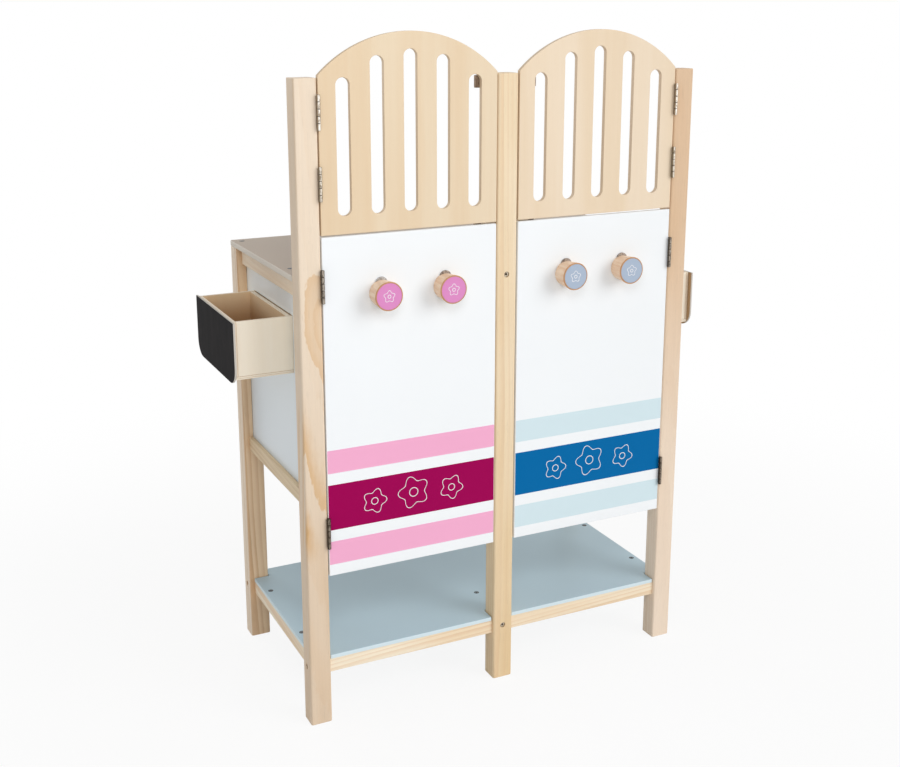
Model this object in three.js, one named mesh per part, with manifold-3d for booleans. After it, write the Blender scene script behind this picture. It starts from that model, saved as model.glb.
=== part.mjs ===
// Toy barn: five posts, two doors, two slotted gates, a counter, a shelf and two side drawers.
// Millimetres, +Z up. X runs along the front, Y from the front to the rear, the floor is Z = 0.
// The front faces of the front posts are at Y = 0 until the last step centres the footprint.

import * as THREE from "three";
import { mergeVertices } from "three/addons/utils/BufferGeometryUtils.js";
import Module from "manifold-3d";

const wasm = await Module();
wasm.setup();

// Posts
const overallWidth = 640;
const frameDepth = 329.5;
const postWidth = 32.5;
const postDepth = 30;
const postEdgeRadius = 3;
const frontPostTopDrop = 3;

// Counter top and the rails that carry it
const counterTopHeight = 677;
const counterThickness = 9;
const upperRailHeight = 25;
const counterRailRearInset = 5.5;

// Rails between the posts, set back from the posts' outer faces
const railThickness = 19;
const sideRailInset = 9;
const crossRailInset = 5.5;
const lowerRailTop = 355;
const lowerRailHeight = 21.5;

// Shelf
const shelfRailTop = 99.5;
const shelfRailHeight = 21.5;
const shelfThickness = 6;
const shelfOverhang = 1;
const shelfPostClearance = 1.5;

// Side panels, held in grooves
const panelThickness = 6;
const panelInset = 7.5;
const grooveDepth = 6;

// Doors and gates
const leafThickness = 7.5;
const leafFreeGap = 1.75;
const doorBottom = 234;
const doorHeight = 497.5;
const gateDoorGap = 2.5;
const gateShoulderHeight = 214;
const gateArchRise = 56.5;

// Slots in the gates
const slotCount = 5;
const slotWidth = 20;
const slotSideMargin = 25;
const slotBottomMargin = 25;
const slotArchMargin = 23.5;

// Hinges
const hingeLength = 46.5;
const hingeKnuckles = 5;
const knuckleRadius = 3;
const pinRadius = 1.2;
const hingePlateThickness = 0.6;
const fixedPlateDepth = 12;
const movingPlateDepth = 7;
const gateUpperHingeDrop = 48;
const gateLowerHingeRise = 70.5;
const doorHingeInset = 67.5;

// Knobs
const knobFaceRadius = 20.8;
const knobBackRadius = 18.5;
const knobLength = 29.5;
const knobEdgeRadius = 1.5;
const knobSpacing = 99;
const knobPairInset = 2;
const knobDrop = 84;

// Catch blocks beside the centre post, which the leaves close against
const catchWidth = 32.5;
const catchThickness = 6;
const upperCatchHeight = 19;
const upperCatchDrop = 1.5;
const lowerCatchHeight = 40;

// Drawers, drawn out, below the upper rails and between the front and rear posts
const drawerTravel = 86.2;
const drawerTopDrop = 36.5;
const plateFrontMargin = 44;
const plateRearMargin = 26;
const plateHeight = 92;
const plateThickness = 3;
const plateCornerRadius = 25;
const plateSideLip = 8;
const plateBottomLip = 7;
const boxLength = 83;
const boxFrontThickness = 4;
const boxWallThickness = 5;
const boxBottomThickness = 5;
const drawerTailLength = 45;
const drawerStopHeight = 6;
const drawerSideClearance = 1.5;
const drawerTopClearance = 2;

// Clearance between pieces that move past each other or sit in a groove, and overrun of every cut
const seatGap = 0.3;
const cutOverrun = 2;

// Counts of the facets on round shapes
const cornerFacets = 2;
const leafFacets = 8;
const plateFacets = 4;
const knobFacets = 32;
const knobEdgeFacets = 3;
const knuckleFacets = 12;

// Places worked out from the sizes
const halfWidth = overallWidth / 2;
const postInnerX = halfWidth - postWidth;
const rearPostFront = frameDepth - postDepth;
const counterUnderside = counterTopHeight - counterThickness;
const upperRailBottom = counterUnderside - upperRailHeight;
const sideRailOuterX = halfWidth - sideRailInset;
const sideRailInnerX = sideRailOuterX - railThickness;
const panelOuterX = sideRailOuterX - panelInset;
const panelInnerX = panelOuterX - panelThickness;
const shelfTop = shelfRailTop + shelfThickness;
const shelfRailBottom = shelfRailTop - shelfRailHeight;
const rearRailFront = frameDepth - crossRailInset - railThickness;
const hingeSeam = 2 * hingePlateThickness + seatGap;
const leafOuterX = postInnerX - hingeSeam;
const leafInnerX = postWidth / 2 + leafFreeGap;
const leafWidth = leafOuterX - leafInnerX;
const leafCentreX = (leafOuterX + leafInnerX) / 2;
const doorTop = doorBottom + doorHeight;
const gateBottom = doorTop + gateDoorGap;
const gateShoulder = gateBottom + gateShoulderHeight;
const frontPostHeight = gateShoulder - frontPostTopDrop;
const slotPitch = (leafWidth - 2 * slotSideMargin - slotWidth) / (slotCount - 1);
const hingeAxisX = postInnerX - hingeSeam / 2;
const hingeAxisY = -(knuckleRadius + seatGap);

const sides = { left: -1, right: 1 };

// Materials, one for each mesh
const finishes = {
  pine: { color: 0xe9d8c4, roughness: 0.62 },
  birchPlywood: { color: 0xebd5b9, roughness: 0.58 },
  drawerPlywood: { color: 0xe4d7c4, roughness: 0.6 },
  whitePaint: { color: 0xf3f4f5, roughness: 0.42 },
  counterPaint: { color: 0xaea093, roughness: 0.5 },
  shelfPaint: { color: 0xa0b6c0, roughness: 0.45 },
  blackBoard: { color: 0x302e2e, roughness: 0.7 },
  hingeMetal: { color: 0x6a635a, roughness: 0.4, metalness: 0.8 },
};

function finished(geometry, name, finish) {
  const material = new THREE.MeshStandardMaterial(finishes[finish]);
  const mesh = new THREE.Mesh(geometry, material);
  mesh.name = name;
  return mesh;
}

// Spans are pairs of numbers, low then high. A mirrored span is measured from the middle of the barn.
function mirroredSpan(side, near, far) {
  return side > 0 ? [near, far] : [-far, -near];
}

function spanLength(span) {
  return span[1] - span[0];
}

function spanMiddle(span) {
  return (span[0] + span[1]) / 2;
}

function boxGeometry(xSpan, ySpan, zSpan) {
  const geometry = new THREE.BoxGeometry(spanLength(xSpan), spanLength(ySpan), spanLength(zSpan));
  geometry.translate(spanMiddle(xSpan), spanMiddle(ySpan), spanMiddle(zSpan));
  return geometry;
}

function board(name, finish, xSpan, ySpan, zSpan) {
  const geometry = new THREE.BoxGeometry(spanLength(xSpan), spanLength(ySpan), spanLength(zSpan));
  const mesh = finished(geometry, name, finish);
  mesh.position.set(spanMiddle(xSpan), spanMiddle(ySpan), spanMiddle(zSpan));
  return mesh;
}

// Joining and cutting
function toSolid(geometry) {
  const plain = geometry.clone();
  plain.deleteAttribute("normal");
  plain.deleteAttribute("uv");
  const merged = mergeVertices(plain);
  const vertProperties = new Float32Array(merged.attributes.position.array);
  const triVerts = new Uint32Array(merged.index.array);
  return new wasm.Manifold(new wasm.Mesh({ numProp: 3, vertProperties, triVerts }));
}

function toGeometry(solid) {
  const mesh = solid.getMesh();
  const geometry = new THREE.BufferGeometry();
  geometry.setAttribute("position", new THREE.BufferAttribute(mesh.vertProperties, 3));
  geometry.setIndex(new THREE.BufferAttribute(mesh.triVerts, 1));
  geometry.computeVertexNormals();
  return geometry;
}

function cutGeometry(geometry, cutters) {
  const cut = cutters.reduce((solid, cutter) => solid.subtract(toSolid(cutter)), toSolid(geometry));
  return toGeometry(cut);
}

function joinGeometries(geometries) {
  const [first, ...others] = geometries.map(toSolid);
  return toGeometry(others.reduce((solid, other) => solid.add(other), first));
}

// Posts
const grooveXSpan = [panelInnerX - seatGap, panelOuterX + seatGap];
const panelYSpan = [postDepth - grooveDepth + seatGap, rearPostFront + grooveDepth - seatGap];
const panelZSpan = [lowerRailTop - grooveDepth + seatGap, upperRailBottom + grooveDepth - seatGap];

function postSection() {
  const x = postWidth / 2 - postEdgeRadius;
  const y = postDepth / 2 - postEdgeRadius;
  const section = new THREE.Shape();
  section.absarc(x, -y, postEdgeRadius, -Math.PI / 2, 0);
  section.absarc(x, y, postEdgeRadius, 0, Math.PI / 2);
  section.absarc(-x, y, postEdgeRadius, Math.PI / 2, Math.PI);
  section.absarc(-x, -y, postEdgeRadius, Math.PI, 1.5 * Math.PI);
  section.closePath();
  return section;
}

function post(name, centreX, centreY, height, grooves = []) {
  const plain = new THREE.ExtrudeGeometry(postSection(), {
    depth: height,
    bevelEnabled: false,
    curveSegments: cornerFacets,
  });
  const cutters = grooves.map((groove) => groove.translate(-centreX, -centreY, 0));
  const geometry = cutters.length ? cutGeometry(plain, cutters) : plain;
  const mesh = finished(geometry, name, "pine");
  mesh.position.set(centreX, centreY, 0);
  return mesh;
}

// The groove that a side panel's upright edges sit in
function panelGroove(side, ySpan) {
  const zSpan = [panelZSpan[0] - seatGap, panelZSpan[1] + seatGap];
  return boxGeometry(mirroredSpan(side, ...grooveXSpan), ySpan, zSpan);
}

function buildPosts() {
  const group = new THREE.Group();
  const frontY = postDepth / 2;
  const rearY = frameDepth - postDepth / 2;
  const frontGrooveSpan = [postDepth - grooveDepth, postDepth + cutOverrun];
  const rearGrooveSpan = [rearPostFront - cutOverrun, rearPostFront + grooveDepth];
  for (const [sideName, side] of Object.entries(sides)) {
    const centreX = side * (halfWidth - postWidth / 2);
    const frontGroove = panelGroove(side, frontGrooveSpan);
    const rearGroove = panelGroove(side, rearGrooveSpan);
    group.add(post(`front_${sideName}_post`, centreX, frontY, frontPostHeight, [frontGroove]));
    group.add(post(`rear_${sideName}_post`, centreX, rearY, counterUnderside, [rearGroove]));
  }
  group.add(post("front_centre_post", 0, frontY, frontPostHeight));
  return group;
}

// Rails, panels and boards of the side frames
function sideRail(name, side, zSpan, grooveZSpan) {
  const ySpan = [postDepth, rearPostFront];
  const xSpan = mirroredSpan(side, sideRailInnerX, sideRailOuterX);
  const grooveYSpan = [ySpan[0] - cutOverrun, ySpan[1] + cutOverrun];
  const groove = boxGeometry(mirroredSpan(side, ...grooveXSpan), grooveYSpan, grooveZSpan);
  return finished(cutGeometry(boxGeometry(xSpan, ySpan, zSpan), [groove]), name, "pine");
}

function sidePanel(name, side) {
  const xSpan = mirroredSpan(side, panelInnerX, panelOuterX);
  const cutXSpan = [xSpan[0] - cutOverrun, xSpan[1] + cutOverrun];
  const openingYSpan = [drawerYSpan[0] - drawerSideClearance, drawerYSpan[1] + drawerSideClearance];
  const opening = boxGeometry(cutXSpan, openingYSpan, [drawerBoxBottom - seatGap, drawerOpeningTop]);
  return finished(cutGeometry(boxGeometry(xSpan, panelYSpan, panelZSpan), [opening]), name, "whitePaint");
}

function buildSideFrames() {
  const group = new THREE.Group();
  const upperZSpan = [upperRailBottom, counterUnderside];
  const upperGrooveZSpan = [upperRailBottom - cutOverrun, upperRailBottom + grooveDepth];
  const lowerZSpan = [lowerRailTop - lowerRailHeight, lowerRailTop];
  const lowerGrooveZSpan = [lowerRailTop - grooveDepth, lowerRailTop + cutOverrun];
  for (const [sideName, side] of Object.entries(sides)) {
    group.add(sideRail(`upper_side_rail_${sideName}`, side, upperZSpan, upperGrooveZSpan));
    group.add(sideRail(`lower_side_rail_${sideName}`, side, lowerZSpan, lowerGrooveZSpan));
    group.add(sidePanel(`side_panel_${sideName}`, side));
  }
  return group;
}

// Shelf: a board notched round the five posts, on a frame of rails
const shelfRailZSpan = [shelfRailBottom, shelfRailTop];

function shelfBoard() {
  const halfBoard = sideRailOuterX + shelfOverhang;
  const ySpan = [crossRailInset - shelfOverhang, frameDepth - crossRailInset + shelfOverhang];
  const zSpan = [shelfRailTop, shelfTop];
  const cutZSpan = [shelfRailTop - cutOverrun, shelfTop + cutOverrun];
  const frontCutYSpan = [-cutOverrun, postDepth + shelfPostClearance];
  const rearCutYSpan = [rearPostFront - shelfPostClearance, frameDepth + cutOverrun];
  const centreCutHalf = postWidth / 2 + shelfPostClearance;
  const notches = [boxGeometry([-centreCutHalf, centreCutHalf], frontCutYSpan, cutZSpan)];
  for (const side of Object.values(sides)) {
    const cutXSpan = mirroredSpan(side, postInnerX - shelfPostClearance, halfWidth + cutOverrun);
    notches.push(boxGeometry(cutXSpan, frontCutYSpan, cutZSpan));
    notches.push(boxGeometry(cutXSpan, rearCutYSpan, cutZSpan));
  }
  const plain = boxGeometry([-halfBoard, halfBoard], ySpan, zSpan);
  return finished(cutGeometry(plain, notches), "shelf_board", "shelfPaint");
}

function buildShelf() {
  const group = new THREE.Group();
  group.add(shelfBoard());
  const frontYSpan = [crossRailInset, crossRailInset + railThickness];
  const rearYSpan = [rearRailFront, rearRailFront + railThickness];
  for (const [sideName, side] of Object.entries(sides)) {
    const bayXSpan = mirroredSpan(side, postWidth / 2, postInnerX);
    const sideXSpan = mirroredSpan(side, sideRailInnerX, sideRailOuterX);
    const sideYSpan = [postDepth, rearPostFront];
    group.add(board(`shelf_front_rail_${sideName}`, "pine", bayXSpan, frontYSpan, shelfRailZSpan));
    group.add(board(`shelf_side_rail_${sideName}`, "pine", sideXSpan, sideYSpan, shelfRailZSpan));
  }
  const centreXSpan = [-railThickness / 2, railThickness / 2];
  const centreYSpan = [postDepth, rearRailFront];
  group.add(board("shelf_rear_rail", "pine", [-postInnerX, postInnerX], rearYSpan, shelfRailZSpan));
  group.add(board("shelf_centre_rail", "pine", centreXSpan, centreYSpan, shelfRailZSpan));
  return group;
}

// Counter: a board on the side rails, the rear posts and one centre rail bolted to the centre post
function buildCounter() {
  const group = new THREE.Group();
  const boardZSpan = [counterUnderside, counterTopHeight];
  const railXSpan = [-railThickness / 2, railThickness / 2];
  const railYSpan = [postDepth, frameDepth - counterRailRearInset];
  const railZSpan = [upperRailBottom, counterUnderside];
  group.add(board("counter_top", "counterPaint", [-halfWidth, halfWidth], [postDepth, frameDepth], boardZSpan));
  group.add(board("counter_centre_rail", "pine", railXSpan, railYSpan, railZSpan));
  return group;
}

// Gates: an arched leaf with round-ended slots whose tops follow the arch
function gateOutline() {
  const half = leafWidth / 2;
  const radius = (half * half + gateArchRise * gateArchRise) / (2 * gateArchRise);
  const centreZ = gateShoulderHeight + gateArchRise - radius;
  const halfAngle = Math.asin(half / radius);
  const outline = new THREE.Shape();
  outline.moveTo(-half, 0);
  outline.lineTo(half, 0);
  outline.absarc(0, centreZ, radius, Math.PI / 2 - halfAngle, Math.PI / 2 + halfAngle);
  outline.closePath();
  const slotRadius = slotWidth / 2;
  const slotArchRadius = radius - slotArchMargin - slotRadius;
  for (let index = 0; index < slotCount; index += 1) {
    const x = (index - (slotCount - 1) / 2) * slotPitch;
    const topZ = centreZ + Math.sqrt(slotArchRadius * slotArchRadius - x * x);
    const slot = new THREE.Path();
    slot.absarc(x, slotBottomMargin + slotRadius, slotRadius, Math.PI, 2 * Math.PI);
    slot.absarc(x, topZ, slotRadius, 0, Math.PI);
    slot.closePath();
    outline.holes.push(slot);
  }
  return outline;
}

function gate(name, side) {
  const geometry = new THREE.ExtrudeGeometry(gateOutline(), {
    depth: leafThickness,
    bevelEnabled: false,
    curveSegments: leafFacets,
  });
  const mesh = finished(geometry, name, "birchPlywood");
  mesh.rotation.x = Math.PI / 2;
  mesh.position.set(side * leafCentreX, leafThickness, gateBottom);
  return mesh;
}

function door(name, side) {
  const xSpan = mirroredSpan(side, leafInnerX, leafOuterX);
  return board(name, "whitePaint", xSpan, [0, leafThickness], [doorBottom, doorTop]);
}

// Hinges: the fixed half holds the pin, the moving half's knuckles turn on it.
// Both are built about the pin's axis at their lower end.
function knuckleSpans(wantedParity) {
  const length = (hingeLength - (hingeKnuckles - 1) * seatGap) / hingeKnuckles;
  const spans = [];
  for (let index = wantedParity; index < hingeKnuckles; index += 2) {
    const low = index * (length + seatGap);
    spans.push([low, low + length]);
  }
  return spans;
}

function cylinderGeometry(radius, zSpan) {
  const geometry = new THREE.CylinderGeometry(radius, radius, spanLength(zSpan), knuckleFacets);
  geometry.rotateX(Math.PI / 2);
  geometry.translate(0, 0, spanMiddle(zSpan));
  return geometry;
}

function hingePlate(side, inward, depth, spans) {
  const near = seatGap / 2;
  const far = near + hingePlateThickness;
  const xSpan = mirroredSpan(inward ? -side : side, near, far);
  const tabStart = (knuckleRadius + pinRadius + seatGap) / 2;
  const tabs = spans.map((span) => boxGeometry(xSpan, [tabStart, depth - hingeAxisY], span));
  return [boxGeometry(xSpan, [-hingeAxisY, depth - hingeAxisY], [0, hingeLength]), ...tabs];
}

function fixedHingeHalf(name, side) {
  const spans = knuckleSpans(0);
  const knuckles = spans.map((span) => cylinderGeometry(knuckleRadius, span));
  const pin = cylinderGeometry(pinRadius, [0, hingeLength]);
  const plate = hingePlate(side, false, fixedPlateDepth, spans);
  return finished(joinGeometries([pin, ...knuckles, ...plate]), name, "hingeMetal");
}

function movingHingeHalf(name, side) {
  const spans = knuckleSpans(1);
  const knuckles = spans.map((span) => cylinderGeometry(knuckleRadius, span));
  const plate = hingePlate(side, true, movingPlateDepth, spans);
  const bore = cylinderGeometry(pinRadius + seatGap, [-cutOverrun, hingeLength + cutOverrun]);
  return finished(cutGeometry(joinGeometries([...plate, ...knuckles]), [bore]), name, "hingeMetal");
}

function hinge(name, side, centreZ) {
  const group = new THREE.Group();
  group.add(fixedHingeHalf(`${name}_fixed`, side));
  group.add(movingHingeHalf(`${name}_moving`, side));
  group.position.set(side * hingeAxisX, hingeAxisY, centreZ - hingeLength / 2);
  return group;
}

// Knobs: turned, widening to the face, on the doors' front
function knobProfile() {
  const points = [new THREE.Vector2(0, 0), new THREE.Vector2(knobBackRadius, 0)];
  for (let index = 0; index <= knobEdgeFacets; index += 1) {
    const angle = (index / knobEdgeFacets) * (Math.PI / 2);
    const radius = knobFaceRadius - knobEdgeRadius + knobEdgeRadius * Math.cos(angle);
    points.push(new THREE.Vector2(radius, knobLength - knobEdgeRadius + knobEdgeRadius * Math.sin(angle)));
  }
  points.push(new THREE.Vector2(0, knobLength));
  return points;
}

function knob(name, x) {
  const mesh = finished(new THREE.LatheGeometry(knobProfile(), knobFacets), name, "birchPlywood");
  mesh.rotation.z = Math.PI;
  mesh.position.set(x, 0, doorTop - knobDrop);
  return mesh;
}

// Catch blocks beside the centre post, behind the leaves' free edges
function catchBlock(name, side, zSpan) {
  const xSpan = mirroredSpan(side, postWidth / 2, postWidth / 2 + catchWidth);
  const front = leafThickness + seatGap;
  return board(name, "pine", xSpan, [front, front + catchThickness], zSpan);
}

function buildLeaves() {
  const group = new THREE.Group();
  const upperCatchTop = frontPostHeight - upperCatchDrop;
  const upperCatchZSpan = [upperCatchTop - upperCatchHeight, upperCatchTop];
  const seamZ = (doorTop + gateBottom) / 2;
  const lowerCatchZSpan = [seamZ - lowerCatchHeight / 2, seamZ + lowerCatchHeight / 2];
  for (const [sideName, side] of Object.entries(sides)) {
    const knobMiddleX = leafCentreX - knobPairInset;
    group.add(gate(`gate_${sideName}`, side));
    group.add(hinge(`gate_${sideName}_upper_hinge`, side, gateShoulder - gateUpperHingeDrop));
    group.add(hinge(`gate_${sideName}_lower_hinge`, side, gateBottom + gateLowerHingeRise));
    group.add(door(`door_${sideName}`, side));
    group.add(hinge(`door_${sideName}_upper_hinge`, side, doorTop - doorHingeInset));
    group.add(hinge(`door_${sideName}_lower_hinge`, side, doorBottom + doorHingeInset));
    group.add(knob(`door_${sideName}_outer_knob`, side * (knobMiddleX + knobSpacing / 2)));
    group.add(knob(`door_${sideName}_inner_knob`, side * (knobMiddleX - knobSpacing / 2)));
    group.add(catchBlock(`upper_catch_${sideName}`, side, upperCatchZSpan));
    group.add(catchBlock(`lower_catch_${sideName}`, side, lowerCatchZSpan));
  }
  return group;
}

// Drawers: a box on a bottom board behind an overlapping front plate. The side walls and the bottom
// run on through the panel's opening, and the walls step up behind the panel as a stop.
const plateYSpan = [postDepth + plateFrontMargin, rearPostFront - plateRearMargin];
const drawerYSpan = [plateYSpan[0] + plateSideLip, plateYSpan[1] - plateSideLip];
const drawerTopHeight = upperRailBottom - drawerTopDrop;
const drawerBoxBottom = drawerTopHeight - plateHeight + plateBottomLip;
const drawerOpeningTop = drawerTopHeight + drawerTopClearance;
const drawerWallZSpan = [drawerBoxBottom + boxBottomThickness, drawerTopHeight];
const plateInnerX = panelOuterX + seatGap + drawerTravel;
const boxBackX = plateInnerX - boxLength;
const stopX = panelInnerX - seatGap;
const tailEndX = panelInnerX - drawerTailLength;

// An outline drawn in Y and Z, given its thickness along X
function standingPlate(outline, xSpan, name, finish, curveSegments) {
  const geometry = new THREE.ExtrudeGeometry(outline, {
    depth: spanLength(xSpan),
    bevelEnabled: false,
    curveSegments,
  });
  const mesh = finished(geometry, name, finish);
  mesh.rotation.set(Math.PI / 2, Math.PI / 2, 0);
  mesh.position.x = xSpan[0];
  return mesh;
}

function drawerFrontPlate(name, side) {
  const [low, high] = plateYSpan;
  const bottom = drawerTopHeight - plateHeight;
  const outline = new THREE.Shape();
  const cornerZ = bottom + plateCornerRadius;
  outline.moveTo(high, drawerTopHeight);
  outline.lineTo(low, drawerTopHeight);
  outline.absarc(low + plateCornerRadius, cornerZ, plateCornerRadius, Math.PI, 1.5 * Math.PI);
  outline.absarc(high - plateCornerRadius, cornerZ, plateCornerRadius, 1.5 * Math.PI, 2 * Math.PI);
  outline.closePath();
  const xSpan = mirroredSpan(side, plateInnerX, plateInnerX + plateThickness);
  return standingPlate(outline, xSpan, name, "blackBoard", plateFacets);
}

// A side wall with its raised tail, drawn in X and Z and given its thickness along Y
function drawerSideWall(name, side, ySpan) {
  const frontX = plateInnerX - boxFrontThickness;
  const stopTop = drawerOpeningTop + drawerStopHeight;
  const low = boxGeometry(mirroredSpan(side, tailEndX, frontX), ySpan, drawerWallZSpan);
  const raised = boxGeometry(mirroredSpan(side, tailEndX, stopX), ySpan, [drawerWallZSpan[0], stopTop]);
  return finished(joinGeometries([low, raised]), name, "drawerPlywood");
}

function drawer(sideName, side) {
  const group = new THREE.Group();
  const wood = "drawerPlywood";
  const [nearY, farY] = drawerYSpan;
  const nearYSpan = [nearY, nearY + boxWallThickness];
  const farYSpan = [farY - boxWallThickness, farY];
  const frontXSpan = mirroredSpan(side, plateInnerX - boxFrontThickness, plateInnerX);
  const backXSpan = mirroredSpan(side, boxBackX, boxBackX + boxWallThickness);
  const bottomXSpan = mirroredSpan(side, tailEndX, plateInnerX);
  const bottomZSpan = [drawerBoxBottom, drawerWallZSpan[0]];
  group.add(drawerFrontPlate(`drawer_${sideName}_front_plate`, side));
  group.add(board(`drawer_${sideName}_front_wall`, wood, frontXSpan, drawerYSpan, drawerWallZSpan));
  group.add(drawerSideWall(`drawer_${sideName}_near_wall`, side, nearYSpan));
  group.add(drawerSideWall(`drawer_${sideName}_far_wall`, side, farYSpan));
  group.add(board(`drawer_${sideName}_back_wall`, wood, backXSpan, [nearYSpan[1], farYSpan[0]], drawerWallZSpan));
  group.add(board(`drawer_${sideName}_bottom`, wood, bottomXSpan, drawerYSpan, bottomZSpan));
  return group;
}

// The whole barn, with the middle of its footprint at the origin
const barn = new THREE.Group();
barn.add(buildPosts());
barn.add(buildSideFrames());
barn.add(buildShelf());
barn.add(buildCounter());
barn.add(buildLeaves());
for (const [sideName, side] of Object.entries(sides)) {
  barn.add(drawer(sideName, side));
}
barn.position.y = (knobLength - frameDepth) / 2;

const part = new THREE.Group();
part.add(barn);

export default part;
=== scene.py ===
"""Looks of the play barn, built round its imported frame. Metres, in the frame's own axes."""
import math

import bmesh
import bpy
from mathutils import Matrix, Vector


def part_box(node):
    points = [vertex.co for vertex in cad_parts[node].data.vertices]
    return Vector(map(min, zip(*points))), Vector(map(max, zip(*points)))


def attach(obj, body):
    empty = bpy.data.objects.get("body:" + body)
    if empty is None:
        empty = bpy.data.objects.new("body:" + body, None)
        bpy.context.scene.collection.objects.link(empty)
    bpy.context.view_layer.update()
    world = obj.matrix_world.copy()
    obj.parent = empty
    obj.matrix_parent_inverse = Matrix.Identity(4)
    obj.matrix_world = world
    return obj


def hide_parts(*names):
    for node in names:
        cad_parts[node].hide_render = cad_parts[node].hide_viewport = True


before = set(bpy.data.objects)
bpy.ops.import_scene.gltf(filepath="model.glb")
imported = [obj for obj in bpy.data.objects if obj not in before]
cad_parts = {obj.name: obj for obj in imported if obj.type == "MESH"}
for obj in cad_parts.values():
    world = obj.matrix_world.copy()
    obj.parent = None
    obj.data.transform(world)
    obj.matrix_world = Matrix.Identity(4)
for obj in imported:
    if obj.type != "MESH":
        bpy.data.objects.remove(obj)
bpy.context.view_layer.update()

MM = 0.001
UP = (0, 0, 1)
TO_THE_BACK = (0, 1, 0)
SIDES = {"left": -1, "right": 1}
FRAME_BODY = "barn_frame"

# Camera, at the photograph's viewing angle
PHOTO_WIDTH = 900
FOCAL_LENGTH_PIXELS = 1229.9
SENSOR_WIDTH = 36
CAMERA_PLACE = (-0.8458, -1.7013, 1.0319)
CAMERA_AZIMUTH = math.radians(-25.90)
CAMERA_ELEVATION = math.radians(13.71)
CAMERA_SHIFT = -0.082

# Light. A panel light has its power, where it stands and where it points.
SKY_LIGHT = 0.50
KEY_LIGHT = 1.12
KEY_DIRECTION = (0.62, -0.76, 0.45)
LIGHT_SPREAD = math.radians(38)
PANEL_LIGHTS = {
    "Left panel light": (4.5, (-0.60, -1.30, 1.45), (-0.15, -0.15, 0.80)),
    "Right panel light": (1.3, (0.90, -1.40, 0.80), (0.23, -0.15, 0.50)),
    "Rear panel light": (5.0, (-0.70, 1.90, 1.10), (0.0, 0.0, 0.55)),
}
PANEL_LIGHT_SIZE = 0.5
WHITE = (1, 1, 1, 1)
FLOOR_COLOUR = (0.92, 0.92, 0.92, 1)
FLOOR_RADIUS = 6.0
FLOOR_FADE = (0.5, 1.6)
FLOOR_SHADOW_SHARE = 0.12

# Rounding of edges
FINE_EDGE = 0.4 * MM
WALL_EDGE = 0.5 * MM
BOARD_EDGE = 0.6 * MM
LEAF_EDGE = 0.8 * MM
POST_END_EDGE = 0.9 * MM
SHELF_EDGE = 0.9 * MM
DOOR_EDGE = 1.0 * MM
COUNTER_EDGE = 1.2 * MM
SHARP_EDGE = math.radians(50)
POST_SHARP_EDGE = math.radians(60)
SHADE_ANGLE = math.radians(35)
FLAT_ANGLE = math.radians(1)
MERGE_DISTANCE = 0.01 * MM


# Reading the frame


def node_centre(name):
    low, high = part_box(name)
    return (low + high) / 2


def outward_span(name):
    """How far from the barn's middle a node on one side starts and ends."""
    low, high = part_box(name)
    return sorted((abs(low.x), abs(high.x)))


def on_side(side, first, second):
    """Two distances from the barn's middle as the low and the high X on one side."""
    return sorted((side * first, side * second))


# Colours and nodes


def srgb(red, green, blue):
    """A colour written as it looks on screen, 0 to 255."""
    shares = [channel / 255 for channel in (red, green, blue)]
    linear = [((share + 0.055) / 1.055) ** 2.4 if share > 0.04045 else share / 12.92 for share in shares]
    return (*linear, 1)


def feed(socket, value):
    """Links a signal or a node's output to this socket, or writes a plain value in it."""
    if isinstance(value, Signal):
        value = value.socket
    if isinstance(value, bpy.types.NodeSocket):
        socket.id_data.links.new(value, socket)
    else:
        socket.default_value = value


def adjust(owner, **settings):
    """Gives a node, a modifier or a camera its settings."""
    for setting, value in settings.items():
        setattr(owner, setting, value)
    return owner


def place(tree, kind, inputs=(), **settings):
    """A node of this kind, with its settings and what goes into its sockets."""
    node = adjust(tree.nodes.new("ShaderNode" + kind), **settings)
    for socket, value in dict(inputs).items():
        feed(node.inputs[socket], value)
    return node


def is_number(value):
    """Whether a signal or a plain value is one number, and not a vector or a colour."""
    if isinstance(value, Signal):
        return value.socket.type == "VALUE"
    return isinstance(value, (int, float))


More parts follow.
